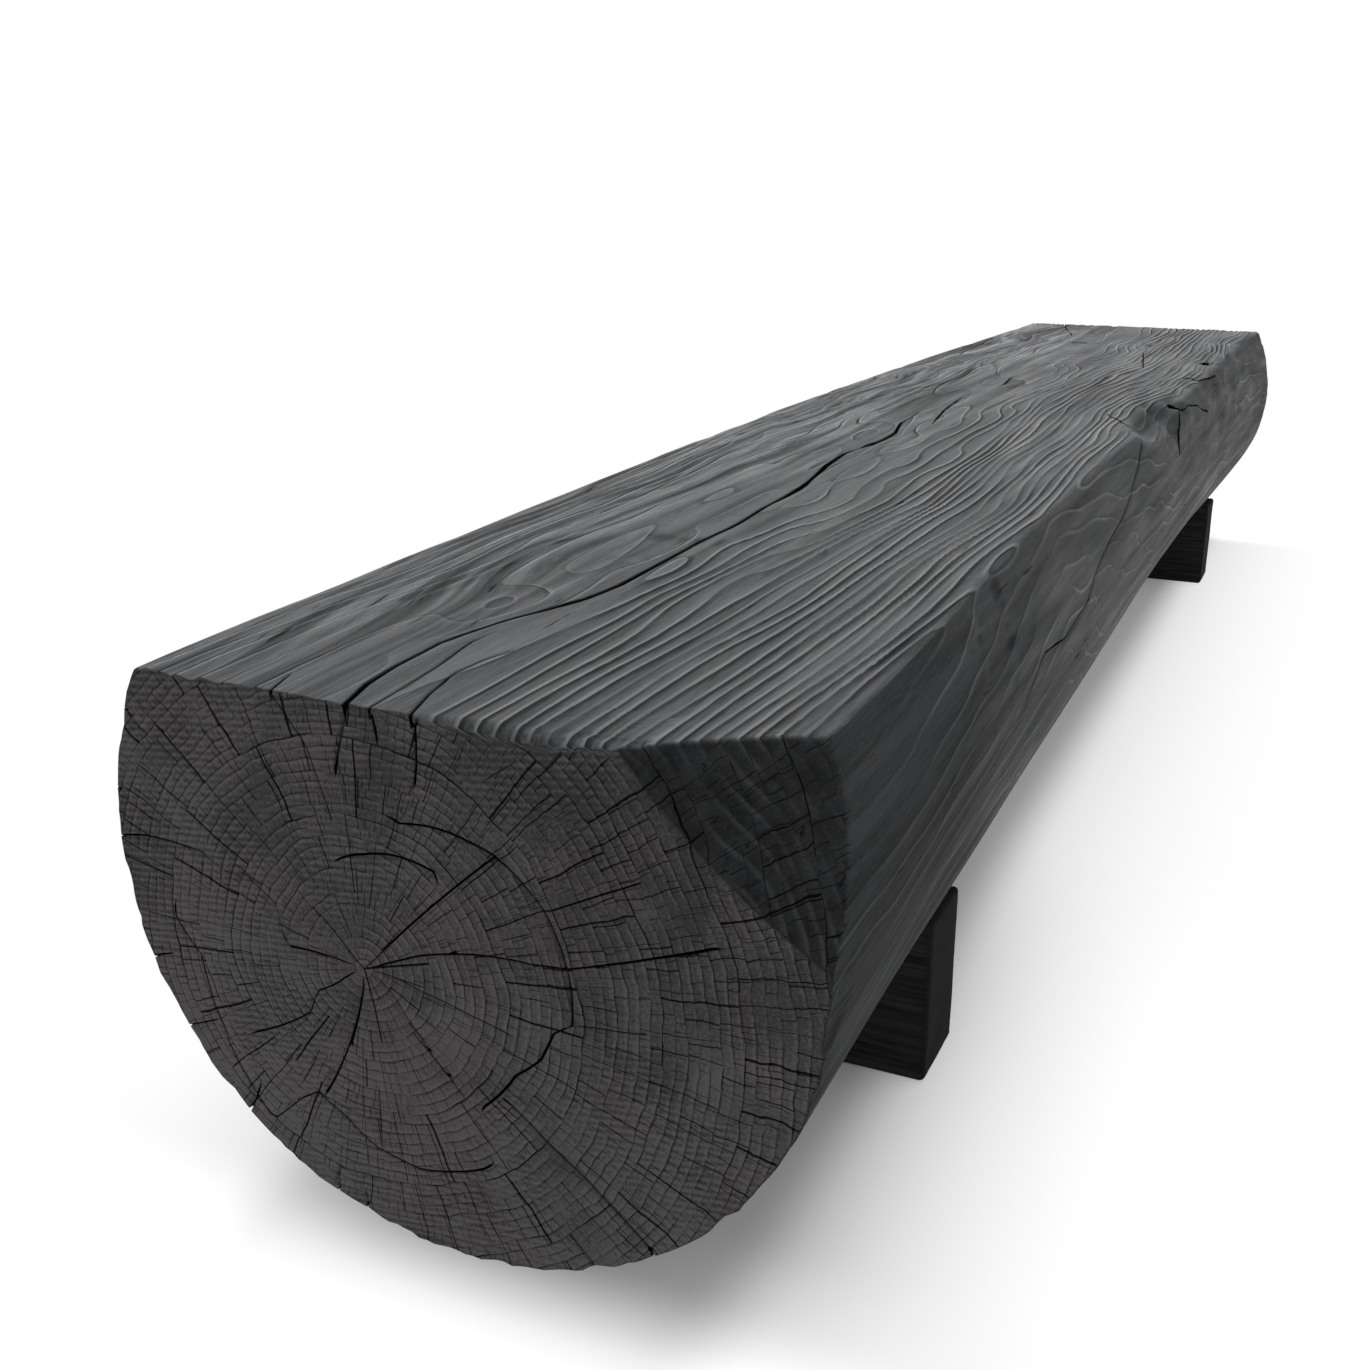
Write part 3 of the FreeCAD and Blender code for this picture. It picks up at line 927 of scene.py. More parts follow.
def sheet_normals(points):
    """Outward normals of a sheet of points that closes round its columns."""
    ring = points[:, :-1]
    round_step = np.roll(ring, -1, 1) - np.roll(ring, 1, 1)
    along_step = np.gradient(ring, axis=0)
    normal = np.cross(round_step, along_step)
    normal /= np.maximum(np.linalg.norm(normal, axis=-1, keepdims=True), 1e-12)
    normal = np.concatenate((normal, normal[:, :1]), 1)
    across = points[..., 1] - points[..., 1].mean(1, keepdims=True)
    flip = np.sign((normal[..., 1] * across).sum())
    return normal * flip


def pith_at(distance):
    """Place across and height of the tree's pith."""
    return along_path(PITH_ACROSS, distance), along_path(PITH_HEIGHT, distance)


def ring_number(points, ring_width, on_skin):
    """Count of growth rings from the pith to each point, with the part of a ring behind the comma."""
    distance = points[..., 0] - LOG_LOW.x
    across, height = pith_at(distance)
    y = points[..., 1] - across
    reach = np.hypot(y, points[..., 2] - height)
    # Near the left end the skin's rings sway less, so that they meet those of its face.
    settle = 0.25 + 0.75 * (1 - np.exp(-distance / 0.25))
    sway = sway_of(points, RING_SWAY)
    if on_skin:
        beside = np.exp(-((points[..., 1] - along_path(MAIN_PATH, distance)) / 0.07) ** 2)
        beside *= soft_step(points[..., 2], 0.38, 0.415)
        flank = 1 - soft_step(points[..., 2], *SEAT_RISE)
        standing = soft_step(np.abs(y), 0.04, 0.12) * soft_step(points[..., 2], *SEAT_RISE)
        for share, table in ((beside, CRACK_SWAY), (flank, FLANK_SWAY), (standing, STANDING_SWAY)):
            sway += share * sway_of(points, table)
    grown = reach + sway * settle * np.clip(reach / 0.12, 0.2, 1)
    for along, across, height, reach_x, reach_r, lift in KNOTS:
        off_x = (distance - along * MM) / (reach_x * MM)
        off_r = np.hypot(points[..., 1] - across * MM, points[..., 2] - height * MM) / (reach_r * MM)
        grown += lift * MM * np.exp(-off_x ** 2 - off_r ** 2)
    if on_skin:
        # Rings lie wider on the seat's rear. The front flank cuts through more of them towards the left end.
        under = 1 - np.exp(-np.maximum(SEAT_HEIGHT - points[..., 2], 0) / 0.12)
        front = soft_step(-points[..., 1], 0.17, 0.235)
        grown -= 0.25 * soft_step(y, 0.0, 0.14) * (reach - 0.17)
        grown -= 56 * MM * under * front * (0.25 + 0.75 * np.exp(-(distance / 0.75) ** 2))
    # Good and bad years make the rings wider and narrower.
    return grown / ring_width + 0.45 * np.sin(grown / 0.031) + 0.22 * np.sin(grown / 0.0117 + 1.0)


def ring_profile(rings):
    """Height across a ring, 0 in the soft wood and 1 on the hard crest, which drops off at its outer side."""
    part = rings - np.floor(rings)
    crest = 0.84
    climb = np.clip(part / crest, 0, 1) ** 1.8
    return climb * (1 - soft_step(part, crest, 1.0))


def ring_pace(points, rings):
    """Rings crossed in a metre of skin, square to them."""
    along = np.gradient(points, axis=0)
    around = np.gradient(points, axis=1)
    by_row = np.gradient(rings, axis=0)
    by_column = np.gradient(rings, axis=1)
    row_size = (along * along).sum(-1)
    column_size = (around * around).sum(-1)
    skew = (along * around).sum(-1)
    area = np.maximum(row_size * column_size - skew ** 2, 1e-16)
    square = column_size * by_row ** 2 - 2 * skew * by_row * by_column + row_size * by_column ** 2
    pace = np.clip(np.sqrt(np.maximum(square / area, 0)), *PACE_RANGE)
    for axis in (0, 1, 1):
        pace = (np.roll(pace, 1, axis) + 2 * pace + np.roll(pace, -1, axis)) / 4
    return pace


def ridge_profile(rings, pace):
    """Height of the brushed ridge at each ring's outer side: a slow climb, then a short drop."""
    part = rings - np.floor(rings)
    climb = np.clip((1 - part) / np.minimum(pace * RIDGE_CLIMB[0] * MM, RIDGE_CLIMB[1]), 0, 1)
    drop = np.clip(part / np.minimum(pace * RIDGE_DROP[0] * MM, RIDGE_DROP[1]), 0, 1)
    return 0.5 + 0.5 * np.cos(math.pi * np.minimum(climb, drop))


def sampling_fade(rings):
    """1 where the sheet is fine enough to carry the rings, 0 where it is too coarse."""
    step = np.maximum(np.abs(np.gradient(rings, axis=1)), np.abs(np.gradient(rings, axis=0)) * 0.8)
    return np.clip((0.6 - step) / 0.3, 0, 1)


def dimple_depths(points):
    """Depth of the dimples round the knots."""
    depth = np.zeros(points.shape[:-1])
    for path, half, deep in DIMPLES:
        spots = np.array(path, float) * MM + np.array((LOG_LOW.x, 0, 0))
        near = np.full(points.shape[:-1], 1.0)
        for first, last in zip(spots[:-1], spots[1:]):
            run = last - first
            share = np.clip((points - first) @ run / (run @ run), 0, 1)
            near = np.minimum(near, np.linalg.norm(points - first - share[..., None] * run, axis=-1))
        depth = np.maximum(depth, deep * MM * np.exp(-(near / (half * MM)) ** 2))
    return depth


def rim_chips(rim):
    """Small steps broken out of the left end's rim, round the bark side more than on the seat."""
    chips = sum(np.clip(waves(rim, stretch, seed), 0, 1) * deep * MM for deep, stretch, seed in CHIPS)
    columns = np.arange(COLUMNS + 1)
    past_scoop = soft_step(columns, SCOOP_SEAT, SCOOP_SEAT + 12)
    on_seat = past_scoop * (1 - soft_step(columns, REAR_ARRIS - 8, REAR_ARRIS))
    on_scoop = soft_step(columns, SCOOP_FLANK - 12, SCOOP_FLANK) * (1 - past_scoop)
    return chips * (1 - 0.6 * on_seat) * (1 - on_scoop)


def crack_depths(marks, checks):
    """How deep the skin's crack columns lie under it."""
    depths = np.zeros((len(marks), COLUMNS + 1))
    for column, _, deep in rim_checks(checks):
        depths[:, column] = deep * MM * 0.8 * (1 - soft_step(marks, 0.0, 0.12))
    for column, _, widths in ((FLANK_CRACK, FLANK_PATH, FLANK_WIDTH), *SEAT_CRACKS):
        depths[:, column] = along_path(widths, marks) * CRACK_STEEPNESS
    return depths


def ring_cracks(turn):
    """Distance from the pith and depth of the left end's two ring cracks, by degrees round the pith."""
    loops = []
    for table in (SHAKE_PATH, ARC_PATH):
        loop = np.array(table, float)
        loops.append([np.interp(turn, loop[:, 0], loop[:, place]) * MM for place in (1, 2)])
    return loops


def cap_reach(rim_reach, shake, arc):
    """Distance from the pith of every point of the left end, level by level from the rim inwards."""
    levels = np.arange(NEAR_LEVELS + 1)
    reach = np.zeros((NEAR_LEVELS + 1, COLUMNS + 1))
    for column in range(COLUMNS + 1):
        held = [(0, rim_reach[column]), (1, rim_reach[column] - RIM_LEVEL), (NEAR_LEVELS, 0.0)]
        for level, loop in ((SHAKE_LEVEL, shake), (ARC_LEVEL, arc)):
            for side in (-1, 0, 1):
                held.append((level + side, loop[column] - side * SHAKE_HALF_WIDTH))
        reach[:, column] = np.interp(levels, *zip(*sorted(held)))
    return reach


def check_at(path, level, here, rim_reach, rim_angle):
    """How far a check turns away from its column, and how open it is, at a distance from the pith."""
    reaches = np.minimum([spot[0] * MM for spot in path], rim_reach)
    degrees = [spot[1] for spot in path]
    wanted = math.radians(np.interp(here, reaches[::-1], degrees[::-1]))
    off = wanted - math.radians(degrees[0])
    outer = 1.0
    if path[0][0] != RIM:
        off = (wanted - rim_angle) * float(soft_step(level, 0, 6))
        outer = 1 - soft_step(here, reaches[0] - 6 * MM, reaches[0] + 3 * MM)
    off *= float(soft_step(here, reaches[-1] - 45 * MM, reaches[-1] - 8 * MM))
    inner = soft_step(here, reaches[-1] - 1 * MM, reaches[-1] + 14 * MM)
    return off, inner * outer


def level_turns(level, reach, depth, rim_reach, rim_angle, checks):
    """How far each column of one level turns away from its place at the rim. Sets the checks' depths."""
    step = max([1, *(count for first, count in NEAR_THINNING if level >= first)])
    pins = {}
    beside = {}
    for column, _, path, half, deep in checks:
        here = reach[column]
        off, share = check_at(path, level, here, rim_reach[column], rim_angle[column])
        if column % step == 0:
            pins[column] = off
        if share > 0:
            depth[column] = max(depth[column], deep * MM * share)
            lean = max(half, 0.6) * MM / max(here, 8 * MM)
            for side in (-1, 1):
                close = column + side * step
                beside[close] = off + rim_angle[column] + side * lean - rim_angle[close]
    open_columns = [check[0] for check in checks if depth[check[0]] > 0]
    for column in list(pins):
        apart = min((abs(column - other) for other in open_columns), default=COLUMNS)
        if 0 < apart < 2 * step:
            del pins[column]
    pins.update({0: 0.0, COLUMNS: 0.0, **beside})
    columns = sorted(pins)
    return np.interp(np.arange(COLUMNS + 1), columns, [pins[column] for column in columns])


def near_cap(rim, pith, checks):
    """Points of the left end from its rim to its pith, and how deep its cracks lie."""
    y = pith[0] - rim[:, 1]
    z = rim[:, 2] - pith[1]
    rim_reach = np.hypot(y, z)
    rim_angle = np.unwrap(np.arctan2(z, y))
    (shake, shake_depth), (arc, arc_depth) = ring_cracks((np.degrees(rim_angle) + 90) % 360 - 90)
    reach = cap_reach(rim_reach, shake, arc)
    depth = np.zeros_like(reach)
    depth[SHAKE_LEVEL] = shake_depth
    depth[ARC_LEVEL] = arc_depth
    angle = np.repeat(rim_angle[None], NEAR_LEVELS + 1, 0)
    least_turn = np.arange(COLUMNS + 1) * LEAST_TURN
    for level in range(1, NEAR_LEVELS):
        angle[level] += level_turns(level, reach[level], depth[level], rim_reach, rim_angle, checks)
        angle[level] = np.maximum.accumulate(angle[level] - least_turn) + least_turn
    points = np.empty(reach.shape + (3,))
    points[..., 0] = LOG_LOW.x
    points[..., 1] = pith[0] - reach * np.cos(angle)
    points[..., 2] = pith[1] + reach * np.sin(angle)
    points[:, -1] = points[:, 0]
    points[0] = rim
    thin_out(points, NEAR_THINNING)
    thin_out(depth, NEAR_THINNING)
    points[-1] = (LOG_LOW.x, *pith)
    return points, depth


def far_cap(rim, pith):
    """Points of the right end from its rim to its pith."""
    share = np.linspace(0, 1, FAR_LEVELS + 1) ** 0.9
    centre = np.array((LOG_HIGH.x, *pith))
    points = rim[None] + (centre - rim)[None] * share[:, None, None]
    points[1:, :, 0] = LOG_HIGH.x
    thin_out(points, FAR_THINNING)
    return points


def thin_out(sheet, steps):
    """Draws columns together in pairs and fours from given levels inwards."""
    columns = np.arange(sheet.shape[1])
    for first, step in steps:
        sheet[first:] = sheet[first:, columns - columns % step]


def mesh_from_sheet(name, points, values):
    """A closed piece from a sheet of points, made on a grid, with values kept at its corners."""
    rows, columns = points.shape[:2]
    shaping = bmesh.new()
    bmesh.ops.create_grid(shaping, x_segments=columns - 1, y_segments=rows - 1, size=1.0)
    mesh = mesh_of(name, shaping)
    if len(mesh.vertices) != rows * columns:
        raise RuntimeError("the grid has %d corners, not %d" % (len(mesh.vertices), rows * columns))
    flat = np.empty(rows * columns * 3, np.float32)
    mesh.vertices.foreach_get("co", flat)
    flat = flat.reshape(-1, 3)
    column = np.rint((flat[:, 0] + 1) / 2 * (columns - 1)).astype(int)
    row = np.rint((flat[:, 1] + 1) / 2 * (rows - 1)).astype(int)
    mesh.vertices.foreach_set("co", points[row, column].astype(np.float32).ravel())
    for label, table in values.items():
        kind, field = ("FLOAT", "value") if table.ndim == 2 else ("FLOAT_VECTOR", "vector")
        layer = mesh.attributes.new(label, kind, "POINT")
        layer.data.foreach_set(field, table[row, column].astype(np.float32).ravel())
    shaping = bmesh.new()
    shaping.from_mesh(mesh)
    bmesh.ops.remove_doubles(shaping, verts=shaping.verts, dist=0.002 * MM)
    bmesh.ops.dissolve_degenerate(shaping, dist=0.001 * MM, edges=shaping.edges)
    bmesh.ops.recalc_face_normals(shaping, faces=shaping.faces)
    for face in shaping.faces:
        face.smooth = True
    shaping.to_mesh(mesh)
    shaping.free()
    return link_object(name, mesh)


def skin_relief(settings, form, marks, bare, normal, rings, pace):
    """Depth of ridges, waves, chips and dimples under the bare skin, and the seat's share in each point."""
    seat = soft_step(normal[..., 2], 0.6, 0.96)
    facet = soft_step(form.scoop_depth(bare), -2.5 * MM, -0.5 * MM)
    distance = bare[..., 0] - LOG_LOW.x
    calm = 0.25 + 0.75 * soft_step(bare[..., 2], *CALM_HEIGHT)
    calm *= 0.35 + 0.65 * soft_step(distance, 0.1, 0.5)
    ridge = settings.seat_ridge * seat + settings.flank_ridge * (1 - seat) * np.maximum(calm, facet)
    ridge *= 0.82 + 0.46 * clipped_waves(bare, (0.4, 0.04, 0.04), 21)
    ridge *= 1 + 0.9 * facet
    ridge *= 1 - 0.65 * seat * (1 - soft_step(pace, *LYING_PACE))
    sunk = ridge * (1 - ridge_profile(rings, pace)) * sampling_fade(rings)
    sunk += 0.6 * MM * (2 - seat) * half_waves(bare, (0.5, 0.13, 0.13), 22)
    across = (bare[..., 1] - BURL_PLACE[0]) / BURL_REACH[0]
    up = (bare[..., 2] - BURL_PLACE[1]) / BURL_REACH[1]
    burl = np.exp(-across ** 2 - up ** 2)
    burl *= soft_step(distance, *BURL_STARTS) * (1 - 0.8 * soft_step(distance, *BURL_FADES))
    sunk += BURL_DEPTH * burl * half_waves(bare, (0.14, 0.07, 0.07), 23)
    # Both ends' edges are rounded, the left end's most on the seat beside the scoop.
    lip = np.clip((np.arange(COLUMNS + 1) - SCOOP_SEAT) / (THIRD_CHECK - SCOOP_SEAT), 0, 1)
    near_ease = (END_WEAR + 9 * MM * np.sin(lip * math.pi) ** 0.7)[None]
    from_left = marks[:, None]
    for ease, from_end in ((near_ease, from_left), (END_WEAR, LOG_LENGTH - from_left)):
        sunk += ease - np.sqrt(np.maximum(ease ** 2 - np.maximum(ease - from_end, 0) ** 2, 0))
    sunk += rim_chips(bare[0])[None] * (1 - soft_step(from_left, 0.002, 0.04))
    sunk += dimple_depths(bare)
    return sunk, seat


def crack_soot(cracks):
    """1 in the open cracks of the skin, and a trace on their lips."""
    lips = np.clip(cracks / (13 * MM), 0, 1) * 0.32
    lips = np.maximum(np.roll(lips, 1, 1), np.roll(lips, -1, 1))
    return np.maximum(np.clip(cracks / (3 * MM), 0, 1), lips)


def end_face(points, stretch, seed):
    """How far an end's face is worn in from its plane, with nothing at its rim."""
    worn = END_WEAR * half_waves(points, stretch, seed)
    worn[0] = 0
    return worn


def carve_log(settings):
    """The whole log as one closed piece."""
    form = LogForm()
    marks, housed = log_rows()
    shares = column_shares(form, marks)
    end_checks = place_checks(form, shares)
    notch_rim(shares, marks, end_checks)
    bare, cut = bare_skin(form, marks, housed, shares)
    normal = sheet_normals(bare)
    rings = ring_number(bare, settings.ring_width, True)
    pace = ring_pace(bare, rings)
    sunk, seat = skin_relief(settings, form, marks, bare, normal, rings, pace)
    sunk[cut] = 0
    cracks = crack_depths(marks, end_checks)
    skin = bare - normal * (sunk + cracks)[..., None]
    skin[..., 0] = np.clip(skin[..., 0], LOG_LOW.x, LOG_HIGH.x)
    skin[:, -1] = skin[:, 0]
    near, checks = near_cap(skin[0], pith_at(0.0), end_checks)
    far = far_cap(skin[-1], pith_at(LOG_LENGTH))
    near_rings = ring_number(near, settings.ring_width, False)
    far_rings = ring_number(far, settings.ring_width, False)
    near[..., 0] += end_face(near, (0.3, 0.05, 0.05), 31) + checks
    far[..., 0] -= end_face(far, (0.3, 0.06, 0.06), 32)
    near_soot = np.clip(checks / (1.5 * MM), 0, 1)
    points = np.concatenate((near[:0:-1], skin, far[1:]))
    on_skin = slice(NEAR_LEVELS, NEAR_LEVELS + len(marks))
    zone = np.zeros(points.shape)
    zone[:NEAR_LEVELS + 1, :, 0] = 1
    zone[-FAR_LEVELS - 1:, :, 0] = 1
    zone[on_skin, :, 1] = seat
    zone[on_skin, :, 2] = np.clip(1 + form.scoop_depth(bare) / SCOOP_FRINGE, 0, 1)
    all_pace = np.full(points.shape[:2], 1 / settings.ring_width)
    all_pace[on_skin] = pace
    values = {
        "rings": np.concatenate((near_rings[:0:-1], rings, far_rings[1:])),
        "pace": all_pace,
        "soot": np.concatenate((near_soot[:0:-1], crack_soot(cracks), np.zeros_like(far_rings[1:]))),
        "zone": zone,
    }
    return mesh_from_sheet("charred_log", points, values)


def end_polar(finish, x, y, z):
    """Share of a turn round the pith, and distance from it, on either end."""
    right = finish.ramp(x, -10 * MM, 10 * MM)
    offsets = []
    for axis, path in ((y, PITH_ACROSS), (z, PITH_HEIGHT)):
        left_pith, right_pith = path[0][1] * MM, path[-1][1] * MM
        offsets.append(axis - (right * (right_pith - left_pith) + left_pith))
    across, up = offsets
    reach = (across * across + up * up) ** 0.5
    turn = up.work("ARCTAN2", up, across) / FULL_TURN + 0.5
    return turn, reach


class LogWood:
    """The log's charred and brushed wood, worked out wire by wire."""

    def __init__(self, finish, settings):
        self.finish = finish
        self.settings = settings
        self.place = finish.node("ShaderNodeTexCoord", out="Object")
        self.x, self.y, self.z = finish.split(self.place)
        self.end, self.seat, self.fringe = finish.split(finish.attribute("zone", "Vector"))
        self.flank = 1.0 - self.seat
        self.facet = finish.ramp(self.fringe, *FACET_FRINGE)
        self.rear = finish.ramp(self.y, *REAR_STRIP) * self.seat
        self.add_noise()
        self.add_rings()
        self.add_checks()

    def add_noise(self):
        """Noise by place, and noise along the fibres, which drift over the rear of the seat."""
        finish = self.finish
        for name, shape in PLACE_NOISE.items():
            setattr(self, name, finish.grain(self.place, *shape))
        drift = (self.drift - 0.5) * (self.rear * 0.11 + 0.015)
        bend = finish.ramp(self.x, *BEND_SPAN, 0.06, 0.0) * self.rear
        flow = finish.merge(self.x, self.y + drift + bend, self.z)
        for name, shape in FLOW_NOISE.items():
            setattr(self, name, finish.grain(flow, *shape))
        easier = self.rear * 0.05
        self.thin = finish.ramp(self.streak, 0.70 - easier, 0.75 - easier)

    def add_rings(self):
        """Pale crest, black grooves and fine gaps of every growth ring, partly painted highlight and shadow."""
        finish = self.finish
        pace = finish.attribute("pace")
        lying = finish.fall(pace, *LYING_PACE) * self.seat
        vigour = finish.ramp(self.vigour, 0.36, 0.6, 0.22, 1.0) * (1.0 - lying * 0.65)
        turn, self.reach = end_polar(finish, self.x, self.y, self.z)
        self.turn = turn + (self.bends - 0.5) * 0.005
        self.end_rings = (self.reach + (self.sway - 0.5) * (16 * MM)) / self.settings.ring_width
        rings = self.on_either(finish.attribute("rings"), self.end_rings)
        self.part = (rings + (self.wobble - 0.5) * pace * (2.2 * MM)).fract()
        before = (1.0 - self.part) / pace
        behind = self.part / pace
        # The crest mask also carries a painted highlight in the colours.
        crest = finish.fall(before, 0.9 * MM, 3.4 * MM).most(finish.fall(behind, 0.2 * MM, 0.9 * MM))
        self.crest = crest * vigour
        # Grooves and fine gaps behind each crest's drop: relief, and painted shadow where they add black.
        self.groove_and_shadow = finish.hump(behind, (0.5 * MM, 1.4 * MM), (2.0 * MM, 5.2 * MM)) * vigour
        self.ring_gap_and_shadow = finish.hump(behind, (0.1 * MM, 0.4 * MM), (0.7 * MM, 1.5 * MM)) * vigour
        calm = finish.ramp(self.z, *CALM_HEIGHT, 0.25, 1.0) * finish.ramp(self.x, *CALM_SPAN, 0.4, 1.0)
        self.calm = self.seat + self.flank * calm.most(self.facet)

    def add_checks(self):
        finish = self.finish
        bold, short, fine = (self.check_lines(*kind) for kind in FINE_CHECKS)
        self.checks = bold.most(short * 0.85).most(fine * 0.6)
        fringe = finish.ramp(self.fringe, 0.35, 0.9) * (1.0 - self.seat * 0.6)
        self.facet_checks = bold.most(short).most(fine * 0.7) * fringe
        saw = (self.z + self.y * 0.12) * (FULL_TURN / SAW_PITCH) + self.wobble * 2.0
        self.ripple = saw.work("SINE", saw) * finish.ramp(self.sawing, 0.42, 0.58)

    def check_lines(self, band, gap, width, seed):
        """Fine radial checks that start afresh in every band of rings, and gaps between the bands."""
        finish = self.finish
        band_width = band * self.settings.ring_width
        row = (self.end_rings / band).floor()
        count = (row * (band_width * FULL_TURN / gap) + 3).floor()
        shift, _, _ = finish.dice(row, seed, 0.0)
        spot = (self.turn + shift) * count
        lean, keep, bold = finish.dice(spot.floor(), row, seed)
        off = (spot.fract() - (lean * 0.5 + 0.25)).size() * self.reach * FULL_TURN / count
        half = bold * width + 0.1 * MM
        line = finish.fall(off / half, 0.5, 1.0) * finish.ramp(keep, 0.3, 0.4)
        between = (self.end_rings / band).fract()
        rim = between.least(1.0 - between) * band_width
        open_rim = finish.ramp(finish.dice(spot.floor(), row, seed + 5.0)[0], 0.6, 0.7)
        return line.most(finish.fall(rim, 0.25 * width, 0.6 * width) * open_rim)

    def slits(self):
        """1 in the black slits round the knots of the front edge, 0 beside them."""
        finish = self.finish
        over = self.y + self.z + (self.fray - 0.5) * (5 * MM)
        spot = finish.merge(self.x * SLIT_STRETCH, over, 0.0)
        slits = None
        for half, path in SLITS:
            corners = [((along * MM + LOG_LOW.x) * SLIT_STRETCH, down * MM, 0.0) for along, down in path]
            for first, last in zip(corners[:-1], corners[1:]):
                run = Vector(last) - Vector(first)
                apart = finish.vector("SUBTRACT", spot, first)
                share = finish.vector("DOT_PRODUCT", apart, tuple(run / run.length_squared), out="Value")
                held = share.most(0.0).least(1.0)
                foot = finish.vector("MULTIPLY", finish.merge(held, held, held), tuple(run))
                gap = finish.vector("DISTANCE", apart, foot, out="Value")
                line = finish.fall(gap, 0.55 * half * MM, 1.1 * half * MM)
                slits = line if slits is None else slits.most(line)
        return slits * finish.ramp(self.z, 0.28, 0.32)

    def on_either(self, skin, end):
        """One wire on the skin, another on the ends."""
        return skin * (1.0 - self.end) + end * self.end

    def skin_colour(self):
        """Brushed char, sooty or worn along the fibres, dark on flanks and scoop, pale on the crests with a
        painted highlight, and painted shade across each ring.
        """
        finish, settings = self.finish, self.settings
        wear = (self.fibre - 0.5) * 1.5 + (self.hair - 0.5) * 1.3 + (self.mottle - 0.5) * 1.3
        # The share of each ring adds painted shade: darker just behind a ring's drop, lighter up to its crest.
        wear = wear + (self.speckle - 0.5) * 0.4 + (self.part - 0.5) * (self.seat * 0.25 + 0.2)
        wear = wear + (self.band - 0.5) * (self.rear * 3.0 + 1.2)
        sooty = colour(settings.plain_colour, 0.3)
        worn = colour(settings.plain_colour, 1.7)
        black = colour(settings.groove_colour)
        skin = finish.blend(finish.ramp(wear + 0.5, 0.0, 1.0), sooty, worn)
        skin = finish.blend(self.flank * 0.65, skin, black)
        patchy = self.seat + self.flank * finish.ramp(self.patches, 0.38, 0.6, 0.15, 1.0)
        # Pale crests: partly bare brushed wood, partly a painted highlight where they catch the light.
        pale = self.crest * (self.seat * 0.5 + 0.28) * self.calm * patchy * (1.0 - self.facet * 0.3)
        skin = finish.blend(pale, skin, colour(settings.crest_and_highlight_colour))
        return finish.blend(self.facet * 0.42, skin, black)

    def end_colour(self):
        """Sawn char, mottled and rippled, brownish in patches, pale on its ring crests with a painted
        highlight, and paler towards the bottom with a painted floor bounce.
        """
        finish, plain = self.finish, self.settings.end_colour
        # Ring crests paler, partly a painted highlight.
        wear = self.crest * 0.32 + (self.mottle - 0.5) * 1.4 + (self.speckle - 0.5) * 1.2 + self.ripple * 0.24
        # Painted floor bounce: paler towards the bottom, darker towards the top.
        wear = wear + finish.ramp(self.z, 0.05, 0.42, 0.68, 0.31)
        wear = wear + finish.ramp(self.y, -0.2, 0.2, -0.05, 0.05)
        brown = [value * cast for value, cast in zip(plain, BROWN_CAST)]
        pale = finish.blend(finish.ramp(self.sway, 0.42, 0.62), colour(plain), colour(brown))
        return finish.blend(finish.ramp(wear, 0.0, 1.0), colour(plain, 0.25), pale)

    def roughness(self):
        """Duller near the left end's flanks, smoother on the seat, its crests and its pale bands."""
        matt = self.finish.ramp(self.x, *MATT_SPAN, 0.25, 0.0) * self.flank
        skin = 0.63 - self.seat * 0.16 - self.crest * 0.1 + matt
        skin = skin + (self.mottle - 0.5) * 0.5 + (self.fibre - 0.5) * 0.3
        skin = skin - (self.band - 0.5) * (self.rear * 0.9 + 0.5)
        return self.on_either(skin, 0.62 + (self.mottle - 0.5) * 0.3)

    def height(self):
        """Fine relief in millimetres: ridges, fibres and checks."""
        ridges = (self.crest * 0.8 - self.groove_and_shadow * 0.8) * (self.seat * 0.6 + 0.4) * self.calm
        fibres = self.fibre + self.hair * 0.7 + self.speckle * 0.2
        skin = ridges + fibres - self.facet_checks * 1.2 - self.thin * 0.8
        end = self.crest * 0.3 - self.ring_gap_and_shadow * 0.5 + self.speckle * 0.5 + self.ripple * 0.16
        return self.on_either(skin, end - self.checks * 1.2)

    def blackness(self):
        """1 in cracks, checks and slits, less in the grooves between the rings, partly painted shadow, and in
        the ends' fine ring gaps, painted shadow.
        """
        # The grooves' black: partly matte char, partly painted shadow on the slope behind each crest.
        depth = self.seat * 0.45 + self.rear * 0.3 + 0.15
        skin = self.groove_and_shadow * depth * self.calm * (1.0 - self.facet * 0.5) + self.thin * 0.6
        skin = skin.most(self.facet_checks * 0.9).most(self.slits())
        # On the ends, the fine ring gaps add painted shadow behind each crest.
        end = self.ring_gap_and_shadow * 0.5 + self.checks * 0.92
        soot = self.finish.ramp(self.finish.attribute("soot"), 0.1, 0.4)
        return soot.most(self.on_either(skin, end))


def log_material(settings):
    """Charred and brushed wood: pale crests with a painted highlight, matt black cracks and grooves, the
    grooves partly painted shadow, rayed ends.
    """
    material, finish = new_material("charred_log")
    wood = LogWood(finish, settings)
    base = finish.blend(wood.end, wood.skin_colour(), wood.end_colour())
    bump = finish.bump(wood.height(), 0.9, MM)
    char = finish.surface(base, wood.roughness(), 0.2, {"Normal": bump})
    # Matt black shader: soot in the cracks, painted shadow in the grooves and ring gaps.
    soot_and_shadow = finish.surface(colour(settings.soot_and_shadow_colour), 1.0, 0.0)
    finish.close(finish.node("ShaderNodeMixShader", None, {0: wood.blackness(), 1: char, 2: soot_and_shadow}))
    return material


